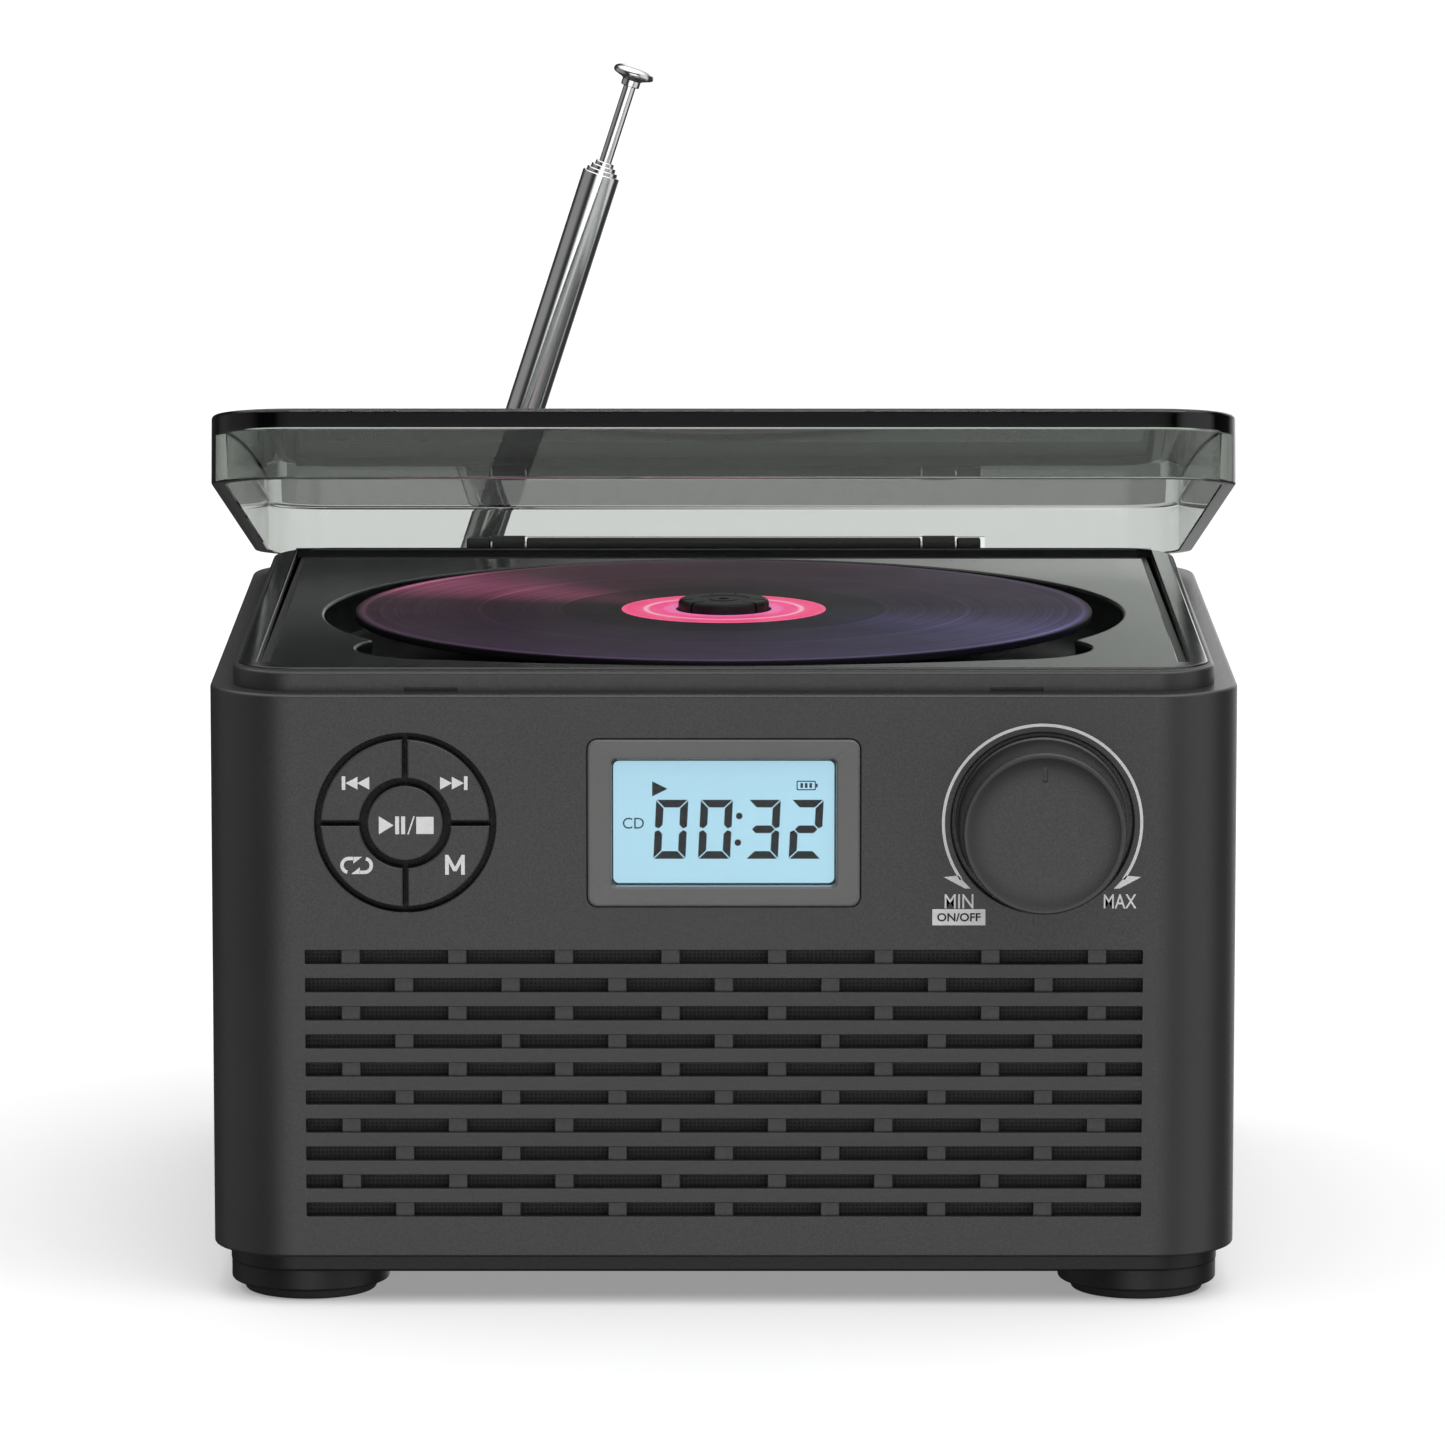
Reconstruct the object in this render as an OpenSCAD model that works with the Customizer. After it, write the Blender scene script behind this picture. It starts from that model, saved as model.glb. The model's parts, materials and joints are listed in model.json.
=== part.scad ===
// Portable CD player with a smoked hinged lid, front speakers and a telescopic antenna.
// Origin: on the floor, under the middle of the body. +X right, +Y to the back, +Z up. Millimetres.

/* [Body] */
// Width of the body shell
body_w = 161; // [160:0.5:162]
// Depth of the body shell
body_d = 156; // [155.5:0.5:157]
// Height of the ledge round the top of the shell above the floor
ledge_z = 97; // [97:0.5:99]
// Height of the shell's lower edge above the floor
base_z = 7.8; // [7.4:0.1:8]
// Radius of the shell's upright corners
corner_r = 13.5; // [11:0.5:14]
// Thickness of the shell's walls
wall = 2.4; // [2.2:0.1:2.6]

/* [Deck and disc] */
// How far the raised deck frame stands in from the shell
plinth_inset = 3.6; // [3.4:0.1:4]
// Height of the deck frame above the ledge
plinth_h = 3.1; // [3:0.1:3.3]
// Distance of the disc's centre in front of the body's centre
disc_forward = 7.6; // [7.4:0.1:7.8]
// Diameter of the disc
disc_d = 120; // [119.5:0.5:120]
// Radius of the round well under the disc
well_r = 65; // [64.5:0.5:65.5]

/* [Lid] */
// Height of the lid's tray
lid_h = 10.9; // [10:0.1:11.5]
// Thickness of the lid's top
lid_top = 2.75; // [2.4:0.05:3]
// Thickness of the lid's skirt
lid_wall = 2.4; // [2.2:0.1:2.6]
// Angle at which the lid stands open
lid_open = 12; // [8:1:14]

/* [Front controls] */
// Height of the row of controls above the floor
control_z = 76.8; // [76:0.2:77.4]
// Distance of the buttons and the knob from the centre line
control_x = 49.6; // [49:0.2:50]
// Radius of the hole for the five buttons
cluster_r = 14.05; // [14:0.05:14.2]
// Travel of a button
button_travel = 0.6; // [0.3:0.1:0.7]
// How far the volume knob stands out of the front
knob_out = 10.6; // [9:0.1:11]

/* [Grille] */
// Number of rows of slots
grille_rows = 10; // [8:1:10]
// Height of a slot
slot_h = 2.2; // [1.8:0.1:2.4]
// Width of the grille
grille_w = 130.6; // [128:0.2:132]
// Distance between two ribs of a row
rib_pitch = 16.64; // [16.2:0.02:16.8]

/* [Antenna] */
// Lean of the raised antenna from upright
antenna_lean = 18; // [0:1:20]
// Diameter of the antenna's outer tube
tube_d = 6.6; // [6.4:0.1:6.8]
// Length of the outer tube from its pivot
tube_len = 78.2; // [74:0.2:80]

/* [Hidden] */
$fn = 64;

// Over-cut of every through hole
eps = 1;
front_y = -body_d / 2;
rear_y = body_d / 2;
inner_front_y = front_y + wall;
inner_rear_y = rear_y - wall;

// Shell
top_wall = 3.5;
deck_open_half_w = 70.5;
deck_open_y = [front_y + 6, rear_y - 9];
foot_x = body_w / 2 - 15.1;
foot_y = body_d / 2 - 15.6;
post_r = 3.5;
plate_z = 5;
plate_top_z = base_z + 2.4;
boss_z = 1.6;

// Deck
plinth_w = body_w - 2 * plinth_inset;
plinth_front_y = front_y + plinth_inset;
plinth_rear_y = rear_y - 4.7;
plinth_r = corner_r - plinth_inset;
deck_t = 1.5;
deck_z = ledge_z + 3.3;
deck_edge = 0.9;
deck_front_y = front_y + 6.7;
deck_rear_y = plinth_rear_y - deck_edge;
deck_gap = 0.7;
groove_x = [71.3, 73.1];
groove_front_y = front_y + 13.2;
trough_y = [rear_y - 20, rear_y - 6.6];
latch_x = 45.6;
latch_w = 8.3;

// Disc and well, all about the disc's axis
disc_y = -disc_forward;
disc_t = 1.2;
disc_top_z = ledge_z + 3.75;
disc_low_z = disc_top_z - disc_t;
lobe_x = 44.9;
lobe_y = -41.3;
lobe_r = 13.3;
well_front = 61;
lobe_arc_r = 161;
tray_z = 92;
tray_floor = 1.5;
hub_r = 7.42;
sled_slot_y = [6, 55];

// Lid, closed, and its hinge line
lid_w = body_w - 0.6;
lid_d = body_d - 0.7;
lid_r = corner_r - 0.3;
lid_z = ledge_z + 1.7;
hinge_y = rear_y - 3;
hinge_z = ledge_z + 3.2;
hinge_half_w = 44.2;
hinge_front_y = rear_y - 5.9;
hinge_top_z = ledge_z + 4.5;
pin_r = 0.8;
lug_x = [34.2, 39.8];

// Antenna, along its own line from its pivot
antenna_x = -45.2;
antenna_y = rear_y + 9.8;
antenna_z = 89;
tube_r = tube_d / 2;
tube_step = 0.55;
tube_wall = 0.475;
tube_lift = 0.7;
ear_r = 3.4;
ear_x = [2, 3.4];
stem_r = 2.5;

// Controls
quadrant_r = [7.05, 13.2];
centre_button_r = 5.95;
button_gap = 0.67;
button_face_y = front_y - 0.6;
button_back_y = front_y + 1.7;
stem_end_y = front_y + 3.9;
knob_r = [13.5, 12.6];
knob_recess_r = 14.1;
knob_recess_y = front_y + 1.4;
shaft_r = 2.95;

// Display
bezel = [42.4, 26.3];
window = [35.1, 20.2];

// Speakers and grille
slot_pitch = 4.46;
slot_top_z = 55.6;
rib_w = 3;
rib_back = 0.8;
speaker_x = 36;
speaker_z = slot_top_z - slot_pitch * (grille_rows - 1) / 2;

// Disc drive, about the disc's axis
chassis_z = 79;
chassis_t = 2;
rod_x = 22;
screw_x = 28;
rod_z = 86;
rod_r = 1.5;
sled_y = [8, 30];
lens_y = 18.4;
damper_x = 36;
damper_y = [-30, 40];

// Rear sockets
socket_z = 34;
socket_x = 18;
board_y = 68;
plate_half = [32, 10];

module rounded_rect(w, d, r) {
    square([w - 2 * r, d], center = true);
    square([w, d - 2 * r], center = true);
    for (x = [-1, 1], y = [-1, 1])
        translate([x * (w / 2 - r), y * (d / 2 - r)]) circle(r, $fn = 96);
}

// A rounded block between two heights
module slab(w, d, r, z0, z1) {
    translate([0, 0, z0]) linear_extrude(z1 - z0) rounded_rect(w, d, r);
}

// A box from its lowest to its highest corner
module span(low, high) {
    translate(low) cube(high - low);
}

module y_cyl(r, y0, y1, x = 0, z = 0) {
    translate([x, y0, z]) rotate([-90, 0, 0]) cylinder(h = y1 - y0, r = r);
}

module x_cyl(r, x0, x1, y = 0, z = 0) {
    translate([x0, y, z]) rotate([0, 90, 0]) cylinder(h = x1 - x0, r = r);
}

module z_cyl(r, z0, z1, x = 0, y = 0) {
    translate([x, y, z0]) cylinder(h = z1 - z0, r = r);
}

// Copies at the four feet
module at_feet() {
    for (x = [-1, 1], y = [-1, 1]) translate([x * foot_x, y * foot_y, 0]) children();
}

// A flat shape drawn in the front's X and Z, extruded from y0 back to y1
module front_extrude(y0, y1) {
    translate([0, y1, 0]) rotate([90, 0, 0]) linear_extrude(y1 - y0) children();
}

// Outline of the disc well: a circle with a flatter front and a lobe for a finger at each front corner
module well_outline(grow) {
    translate([0, disc_y]) {
        for (s = [-1, 1]) translate([s * lobe_x, lobe_y]) circle(lobe_r + grow);
        intersection() {
            translate([0, lobe_arc_r - well_front]) circle(lobe_arc_r + grow, $fn = 360);
            union() {
                circle(well_r + grow, $fn = 180);
                translate([-lobe_x, -well_front - grow]) square([2 * lobe_x, well_front / 2]);
            }
        }
    }
}

module grille_slots() {
    for (row = [0:grille_rows - 1]) {
        z = slot_top_z - row * slot_pitch;
        shift = row % 2 == 0 ? 0.5 : 0;
        ribs = [for (k = [-4:3]) if (abs(k + shift) < 3.6) (k + shift) * rib_pitch];
        translate([-grille_w / 2, front_y - eps, z - slot_h / 2])
            cube([grille_w, rib_back + eps, slot_h]);
        difference() {
            translate([-grille_w / 2, front_y, z - slot_h / 2]) cube([grille_w, wall + eps, slot_h]);
            for (x = ribs) translate([x - rib_w / 2, front_y, z - slot_h]) cube([rib_w, 9, 2 * slot_h]);
        }
    }
}

module main_shell() {
    color([0.27, 0.27, 0.27]) {
        difference() {
            slab(body_w, body_d, corner_r, base_z, ledge_z);
            slab(body_w - 2 * wall, body_d - 2 * wall, corner_r - wall, base_z - eps, ledge_z - top_wall);
            span([-deck_open_half_w, deck_open_y[0], base_z],
                [deck_open_half_w, deck_open_y[1], ledge_z + eps]);
            front_extrude(front_y - eps, inner_front_y + eps) translate([0, control_z])
                rounded_rect(bezel[0] + 0.1, bezel[1] + 0.1, 1.6);
            y_cyl(cluster_r, front_y - eps, inner_front_y + eps, -control_x, control_z);
            y_cyl(knob_recess_r, front_y - eps, knob_recess_y, control_x, control_z);
            y_cyl(3.6, front_y - eps, inner_front_y + eps, control_x, control_z);
            grille_slots();
            rear_openings();
        }
        at_feet() difference() {
            z_cyl(post_r, plate_top_z, ledge_z - top_wall);
            z_cyl(1.5, plate_top_z - eps, 26);
        }
        antenna_cradle();
    }
}

module rear_openings() {
    span([-plate_half[0] - 0.1, rear_y - 1.6, socket_z - plate_half[1] - 0.1],
        [plate_half[0] + 0.1, rear_y + eps, socket_z + plate_half[1] + 0.1]);
    span([-26, inner_rear_y - eps, socket_z - 7], [26, rear_y, socket_z + 7]);
    for (s = [-1, 1]) y_cyl(0.85, inner_rear_y - eps, rear_y, s * 29, socket_z);
    y_cyl(4.4, inner_rear_y - eps, rear_y + eps, antenna_x, antenna_z);
}

// Shelf with a low lip that the stowed antenna drops into
module antenna_cradle() {
    x = [20, 27];
    lip_y = antenna_y + 2.7;
    low_z = antenna_z - tube_r - 0.2;
    span([x[0], rear_y - wall, low_z - 2], [x[1], lip_y + 0.8, low_z]);
    span([x[0], lip_y, low_z - 2], [x[1], lip_y + 0.8, antenna_z - 2]);
}

module bottom_cover() {
    color([0.2, 0.2, 0.2]) difference() {
        union() {
            slab(body_w - 5.2, body_d - 5.2, corner_r - 2.6, plate_z, plate_top_z);
            at_feet() z_cyl(12.5, boss_z, plate_z);
        }
        at_feet() {
            z_cyl(1.7, 0, plate_top_z + eps);
            z_cyl(3.3, 0, plate_z);
        }
    }
}

module rubber_feet() {
    color([0.06, 0.06, 0.06]) at_feet() difference() {
        z_cyl(10.4, 0, boss_z);
        z_cyl(3.3, -eps, boss_z + eps);
    }
}

module base_screws() {
    color([0.6, 0.6, 0.62]) at_feet() {
        difference() {
            z_cyl(2.9, 2.9, plate_z);
            for (a = [0, 90]) rotate(a) translate([-1.6, -0.35, 2.9 - eps]) cube([3.2, 0.7, eps + 1.2]);
        }
        z_cyl(1.4, plate_z, 22);
    }
}

module top_frame() {
    color([0.25, 0.25, 0.25]) difference() {
        translate([0, (plinth_front_y + plinth_rear_y) / 2, 0])
            slab(plinth_w, plinth_rear_y - plinth_front_y, plinth_r, ledge_z, ledge_z + plinth_h);
        translate([0, 0, deck_z - deck_t]) linear_extrude(plinth_h) deck_outline(deck_gap, 0.05);
        translate([0, 0, ledge_z - eps]) linear_extrude(plinth_h + 2 * eps) well_outline(1);
        for (s = [-1, 1]) latch_notch(s * latch_x);
        span([-hinge_half_w - 1.5, hinge_front_y - 0.1, ledge_z - eps],
            [hinge_half_w + 1.5, rear_y, ledge_z + plinth_h + eps]);
    }
}

module latch_notch(x) {
    translate([x, plinth_front_y + 0.8, ledge_z]) rotate([90, 0, 0]) linear_extrude(0.8 + eps)
        polygon([[-latch_w / 2, -eps], [latch_w / 2, -eps], [latch_w / 2, 0.2], [latch_w / 2 - 0.5, 0.65],
            [0.5 - latch_w / 2, 0.65], [-latch_w / 2, 0.2]]);
}

// Outline of the deck plate, grown at the front and at the other sides
module deck_outline(front, side) {
    y0 = deck_front_y - front;
    y1 = deck_rear_y + side;
    w = plinth_w - 2 * deck_edge + 2 * side;
    translate([0, (y0 + y1) / 2]) rounded_rect(w, y1 - y0, plinth_r - deck_edge);
}

module deck_plate() {
    color([0.1, 0.1, 0.11]) difference() {
        translate([0, 0, deck_z - deck_t]) linear_extrude(deck_t) deck_outline(0, 0);
        translate([0, 0, deck_z - deck_t - eps]) linear_extrude(deck_t + 2 * eps) {
            well_outline(0);
            for (s = [-1, 1]) scale([s, 1, 1]) translate([groove_x[0], groove_front_y])
                square([groove_x[1] - groove_x[0], trough_y[1] - groove_front_y]);
            translate([-groove_x[0], trough_y[0]]) square([2 * groove_x[0], trough_y[1] - trough_y[0]]);
            translate([-hinge_half_w - 1.5, trough_y[0]]) square([2 * hinge_half_w + 3, 20]);
        }
    }
}

module disc_tray() {
    color([0.07, 0.07, 0.07]) {
        difference() {
            translate([0, 0, tray_z]) linear_extrude(ledge_z - tray_z) well_outline(2.2);
            translate([0, 0, tray_z + tray_floor]) linear_extrude(9) well_outline(0.3);
            z_cyl(15, tray_z - eps, ledge_z, 0, disc_y);
            span([-6.8, sled_slot_y[0], tray_z - eps], [6.8, sled_slot_y[1], ledge_z]);
        }
        for (s = [-1, 1], y = damper_y) {
            z_cyl(1.5, chassis_z - 1.5, tray_z, s * damper_x, y);
            z_cyl(2.6, chassis_z + 4, tray_z, s * damper_x, y);
        }
    }
}

// Places its children, drawn with the lid closed, at the angle at which the lid stands
module at_lid() {
    translate([0, hinge_y, hinge_z]) rotate([-lid_open, 0, 0]) translate([0, -hinge_y, -hinge_z]) children();
}

module lid() {
    notch = hinge_half_w + 0.8;
    notch_z = ledge_z + 4.9;
    flap_z = hinge_z - 0.3;
    flap_wall = 0.9;
    inner_z = lid_z + lid_h - lid_top;
    catch_y = lid_wall - lid_d / 2 - 0.1;
    color([0.2, 0.23, 0.22, 0.6]) at_lid() difference() {
        union() {
            difference() {
                slab(lid_w, lid_d, lid_r, lid_z, lid_z + lid_h);
                slab(lid_w - 2 * lid_wall, lid_d - 2 * lid_wall, lid_r - lid_wall, lid_z - eps, inner_z);
                span([-notch, rear_y - 3.2, lid_z - eps], [notch, rear_y, flap_z]);
                span([-notch, rear_y - 3.2, lid_z - eps], [notch, lid_d / 2 - flap_wall, notch_z]);
            }
            for (s = [-1, 1]) scale([s, 1, 1]) {
                span([lug_x[0], hinge_y + 0.2, hinge_z], [lug_x[1], lid_d / 2, notch_z + 0.1]);
                x_cyl(1.8, lug_x[0], lug_x[1], hinge_y, hinge_z);
            }
            for (s = [-1, 1]) translate([s * latch_x - 3, catch_y, lid_z]) cube([6, 0.6, 1.2]);
        }
        x_cyl(pin_r + 0.06, -lug_x[1] - eps, lug_x[1] + eps, hinge_y, hinge_z);
    }
}

module hinge_bar() {
    slope = 1.2;
    color([0.05, 0.05, 0.05]) difference() {
        union() {
            front_extrude(hinge_front_y, hinge_y) polygon([[-hinge_half_w, ledge_z], [hinge_half_w, ledge_z],
                [hinge_half_w, hinge_top_z - slope], [hinge_half_w - slope, hinge_top_z],
                [slope - hinge_half_w, hinge_top_z], [-hinge_half_w, hinge_top_z - slope]]);
            x_cyl(1.5, -hinge_half_w + slope, hinge_half_w - slope, hinge_y, hinge_z);
        }
        for (s = [-1, 1]) scale([s, 1, 1]) x_cyl(2.2, lug_x[0] - 0.3, lug_x[1] + 0.3, hinge_y, hinge_z);
        x_cyl(pin_r + 0.02, -hinge_half_w, hinge_half_w, hinge_y, hinge_z);
    }
}

module hinge_pin() {
    color([0.7, 0.7, 0.7]) x_cyl(pin_r, 1 - hinge_half_w, hinge_half_w - 1, hinge_y, hinge_z);
}

module rear_plate() {
    color([0.12, 0.12, 0.12]) difference() {
        span([-plate_half[0], rear_y - 1.6, socket_z - plate_half[1]],
            [plate_half[0], rear_y, socket_z + plate_half[1]]);
        for (x = [-socket_x, 0]) y_cyl(3.5, rear_y - 2, rear_y + eps, x, socket_z);
        front_extrude(rear_y - 2, rear_y + eps) translate([socket_x, socket_z]) rounded_rect(9.4, 3.6, 1.7);
        for (s = [-1, 1]) {
            y_cyl(1.1, rear_y - 2, rear_y + eps, s * 29, socket_z);
            y_cyl(2.1, rear_y - 0.9, rear_y + eps, s * 29, socket_z);
        }
    }
}

module rear_plate_screws() {
    color([0.3, 0.3, 0.3]) for (s = [-1, 1]) {
        difference() {
            y_cyl(2, rear_y - 0.9, rear_y - 0.05, s * 29, socket_z);
            for (a = [0, 90]) translate([s * 29, rear_y, socket_z]) rotate([0, a, 0])
                cube([2.4, 1, 0.5], center = true);
        }
        y_cyl(0.8, rear_y - 6, rear_y - 0.9, s * 29, socket_z);
    }
}

module usb_socket() {
    color([0.7, 0.7, 0.72]) translate([socket_x, 0, socket_z]) difference() {
        front_extrude(board_y + 1.6, rear_y - 0.3) rounded_rect(9, 3.2, 1.5);
        front_extrude(board_y + 3, rear_y) difference() {
            rounded_rect(8.4, 2.6, 1.25);
            square([6.6, 0.7], center = true);
        }
    }
}

// A round 3.5 mm socket on the main board
module audio_socket(x) {
    color([0.15, 0.15, 0.15]) difference() {
        union() {
            span([x - 4.5, board_y + 1.6, socket_z - 4.5], [x + 4.5, rear_y - 3, socket_z + 4.5]);
            y_cyl(3.4, rear_y - 3, rear_y - 0.1, x, socket_z);
        }
        y_cyl(1.8, board_y + 3, rear_y + eps, x, socket_z);
    }
}

module aux_socket() {
    audio_socket(-socket_x);
}

module headphone_socket() {
    audio_socket(0);
}

module antenna_socket() {
    color([0.08, 0.08, 0.08]) difference() {
        union() {
            y_cyl(8, rear_y, rear_y + 2.5, antenna_x, antenna_z);
            y_cyl(4.3, inner_rear_y - 0.6, rear_y, antenna_x, antenna_z);
        }
        y_cyl(stem_r + 0.06, inner_rear_y - 2, rear_y + 4, antenna_x, antenna_z);
    }
}

// Places its children along the antenna, with the pivot at their origin
module at_antenna() {
    translate([antenna_x, antenna_y, antenna_z]) rotate([0, antenna_lean, 0]) children();
}

module antenna_swivel() {
    disc_y1 = rear_y + 5 - antenna_y;
    color([0.78, 0.78, 0.8]) at_antenna() difference() {
        union() {
            y_cyl(6.4, rear_y + 2.6 - antenna_y, disc_y1);
            y_cyl(stem_r, rear_y - 5.5 - antenna_y, rear_y + 2.6 - antenna_y);
            for (s = [-1, 1]) scale([s, 1, 1]) {
                span([ear_x[0], disc_y1 - 0.5, -ear_r], [ear_x[1], 0, ear_r]);
                x_cyl(ear_r, ear_x[0], ear_x[1]);
            }
        }
        x_cyl(1.02, -5, 5);
    }
}

module antenna_washer() {
    color([0.6, 0.6, 0.6]) difference() {
        y_cyl(4.2, inner_rear_y - 2, inner_rear_y - 0.8, antenna_x, antenna_z);
        y_cyl(stem_r, inner_rear_y - 3, inner_rear_y, antenna_x, antenna_z);
    }
}

module antenna_pin() {
    color([0.7, 0.7, 0.72]) at_antenna() {
        x_cyl(1, -ear_x[1], ear_x[1]);
        for (s = [-1, 1]) scale([s, 1, 1]) x_cyl(1.9, ear_x[1], ear_x[1] + 0.7);
    }
}

// One tube of the antenna: n counts inwards from the outer tube
module antenna_tube(n) {
    r = tube_r - n * tube_step;
    foot = n == 0 ? 5 : 7.5 + 2.5 * n;
    top = tube_len + n * tube_lift;
    difference() {
        union() {
            z_cyl(r, foot, top);
            if (n == 0) {
                x_cyl(tube_r, 0.08 - ear_x[0], ear_x[0] - 0.08);
                span([0.08 - ear_x[0], -tube_r, 0], [ear_x[0] - 0.08, tube_r, foot + 0.1]);
            }
        }
        z_cyl(r - tube_wall, foot + (n == 0 ? 4 : 2), top + eps);
        if (n == 0) x_cyl(1.06, -5, 5);
    }
}

module antenna_tube_1() {
    color([0.8, 0.8, 0.82]) at_antenna() antenna_tube(0);
}

module antenna_tube_2() {
    color([0.8, 0.8, 0.82]) at_antenna() antenna_tube(1);
}

module antenna_tube_3() {
    color([0.8, 0.8, 0.82]) at_antenna() antenna_tube(2);
}

module antenna_tube_4() {
    color([0.8, 0.8, 0.82]) at_antenna() antenna_tube(3);
}

rod_top = tube_len + 15.8;

module antenna_rod() {
    color([0.8, 0.8, 0.82]) at_antenna() z_cyl(tube_r - 4 * tube_step, 17.5, rod_top);
}

module antenna_cap() {
    color([0.8, 0.8, 0.82]) at_antenna() {
        z_cyl(1.65, rod_top, rod_top + 1.3);
        translate([0, 0, rod_top + 1.3]) rotate_extrude() intersection() {
            translate([0, -3.1]) circle(5.4, $fn = 96);
            square([3.6, 2.3]);
        }
    }
}

// A quarter of the ring of buttons, towards +x or -x and +z or -z, with its stem
module ring_button(sx, sz) {
    reach = (quadrant_r[0] + quadrant_r[1]) / 2;
    color([0.22, 0.22, 0.22]) translate([-control_x, 0, control_z]) {
        front_extrude(button_face_y, button_back_y) intersection() {
            difference() {
                circle(quadrant_r[1], $fn = 96);
                circle(quadrant_r[0], $fn = 96);
            }
            scale([sx, sz]) translate([button_gap / 2, button_gap / 2]) square(20);
        }
        y_cyl(1.4, button_back_y, stem_end_y, sx * reach * cos(45), sz * reach * sin(45));
    }
}

module button_previous() {
    ring_button(-1, 1);
}

module button_next() {
    ring_button(1, 1);
}

module button_repeat() {
    ring_button(-1, -1);
}

module button_mode() {
    ring_button(1, -1);
}

module button_play() {
    color([0.22, 0.22, 0.22]) {
        y_cyl(centre_button_r, button_face_y, button_back_y, -control_x, control_z);
        y_cyl(1.4, button_back_y, stem_end_y, -control_x, control_z);
    }
}

// Copies at the stems of the five buttons
module at_buttons() {
    reach = (quadrant_r[0] + quadrant_r[1]) / 2;
    translate([-control_x, 0, control_z]) {
        children();
        for (a = [45:90:315]) translate([reach * cos(a), 0, reach * sin(a)]) children();
    }
}

module button_carrier() {
    color([0.03, 0.03, 0.03]) difference() {
        y_cyl(15.5, inner_front_y, inner_front_y + 1, -control_x, control_z);
        at_buttons() y_cyl(2, inner_front_y - eps, inner_front_y + 2);
    }
}

module key_board() {
    color([0.1, 0.35, 0.2]) span([-control_x - 15, front_y + 6, control_z - 14],
        [-control_x + 15, front_y + 7.6, control_z + 14]);
}

module key_switches() {
    color([0.6, 0.6, 0.6]) at_buttons() {
        span([-2.2, front_y + 5, -2.2], [2.2, front_y + 6, 2.2]);
        y_cyl(1, front_y + 4.6, front_y + 5);
    }
}

module volume_knob() {
    face_y = front_y - knob_out;
    rim_y = face_y + 0.6;
    color([0.2, 0.2, 0.2]) translate([control_x, 0, control_z]) difference() {
        translate([0, knob_recess_y - 0.2, 0]) rotate([90, 0, 0]) union() {
            cylinder(h = knob_recess_y - 0.2 - rim_y, r1 = knob_r[0], r2 = knob_r[1], $fn = 128);
            translate([0, 0, knob_recess_y - 0.2 - rim_y])
                cylinder(h = rim_y - face_y, r1 = knob_r[1], r2 = knob_r[1] - 0.5, $fn = 128);
        }
        translate([0, face_y + 0.8, 0]) rotate([90, 0, 0]) cylinder(h = 2, r1 = 11.3, r2 = 12.8, $fn = 128);
        span([-0.4, face_y, 8], [0.4, face_y + 1.3, 10.5]);
        y_cyl(7, face_y + 9, 0);
        y_cyl(shaft_r + 0.05, face_y + 4.6, 0);
    }
}

module volume_shaft() {
    color([0.75, 0.75, 0.75]) y_cyl(shaft_r, front_y - knob_out + 4.7, front_y + 10, control_x, control_z);
}

module volume_pot() {
    color([0.35, 0.35, 0.37]) difference() {
        union() {
            y_cyl(3.5, front_y - 0.6, inner_front_y + 0.2, control_x, control_z);
            y_cyl(8.5, inner_front_y + 0.2, front_y + 12, control_x, control_z);
        }
        y_cyl(shaft_r + 0.06, front_y - 2, front_y + 10.4, control_x, control_z);
    }
}

module volume_nut() {
    color([0.7, 0.7, 0.7]) difference() {
        translate([control_x, knob_recess_y, control_z]) rotate([90, 0, 0])
            cylinder(h = 1.6, r = 5.2, $fn = 6);
        y_cyl(3.5, front_y - 2, front_y + 2, control_x, control_z);
    }
}

module lcd_bezel() {
    color([0.4, 0.4, 0.4]) front_extrude(front_y - 0.3, inner_front_y) translate([0, control_z])
        difference() {
            rounded_rect(bezel[0], bezel[1], 1.55);
            rounded_rect(window[0], window[1], 0.8);
        }
}

module lcd_window() {
    color([0.66, 0.83, 0.9, 0.5]) front_extrude(front_y + 0.3, front_y + 1.3) translate([0, control_z])
        rounded_rect(window[0] - 0.1, window[1] - 0.1, 0.75);
}

module lcd_panel() {
    color([0.66, 0.84, 0.9]) span([-19, inner_front_y + 0.05, control_z - 11.5],
        [19, inner_front_y + 2.6, control_z + 11.5]);
}

module display_board() {
    color([0.1, 0.35, 0.2]) span([-22, inner_front_y + 2.6, control_z - 13.5],
        [22, inner_front_y + 4.2, control_z + 13]);
}

module grille_cloth() {
    half_h = (grille_rows * slot_pitch + 2) / 2;
    color([0.04, 0.04, 0.04]) span([-grille_w / 2 - 2, inner_front_y + 0.1, speaker_z - half_h],
        [grille_w / 2 + 2, inner_front_y + 0.5, speaker_z + half_h]);
}

// Profile of a speaker's basket, in radius and depth behind the grille cloth
module speaker_basket(x) {
    color([0.15, 0.15, 0.15]) translate([x, inner_front_y + 0.5, speaker_z]) rotate([-90, 0, 0])
        rotate_extrude($fn = 96) polygon([[18, 0], [21.5, 0], [21.5, 1.6], [19.2, 1.6], [14, 13], [6.5, 13],
            [6.5, 11.8], [13.2, 11.8], [18, 1.4]]);
}

module speaker_cone(x) {
    color([0.08, 0.08, 0.08]) translate([x, inner_front_y + 0.5, speaker_z]) rotate([-90, 0, 0])
        rotate_extrude($fn = 96)
            polygon([[17.9, 0.4], [17.4, 1.4], [6, 10.4], [0, 8.6], [0, 7.8], [6, 9.4], [16.4, 0.7]]);
}

module speaker_magnet(x) {
    color([0.3, 0.3, 0.3]) translate([x, inner_front_y + 0.5, speaker_z]) rotate([-90, 0, 0])
        rotate_extrude($fn = 96) polygon([[0, 13], [14, 13], [14, 20.5], [11, 22.5], [0, 22.5]]);
}

module speaker_basket_left() {
    speaker_basket(-speaker_x);
}

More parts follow.
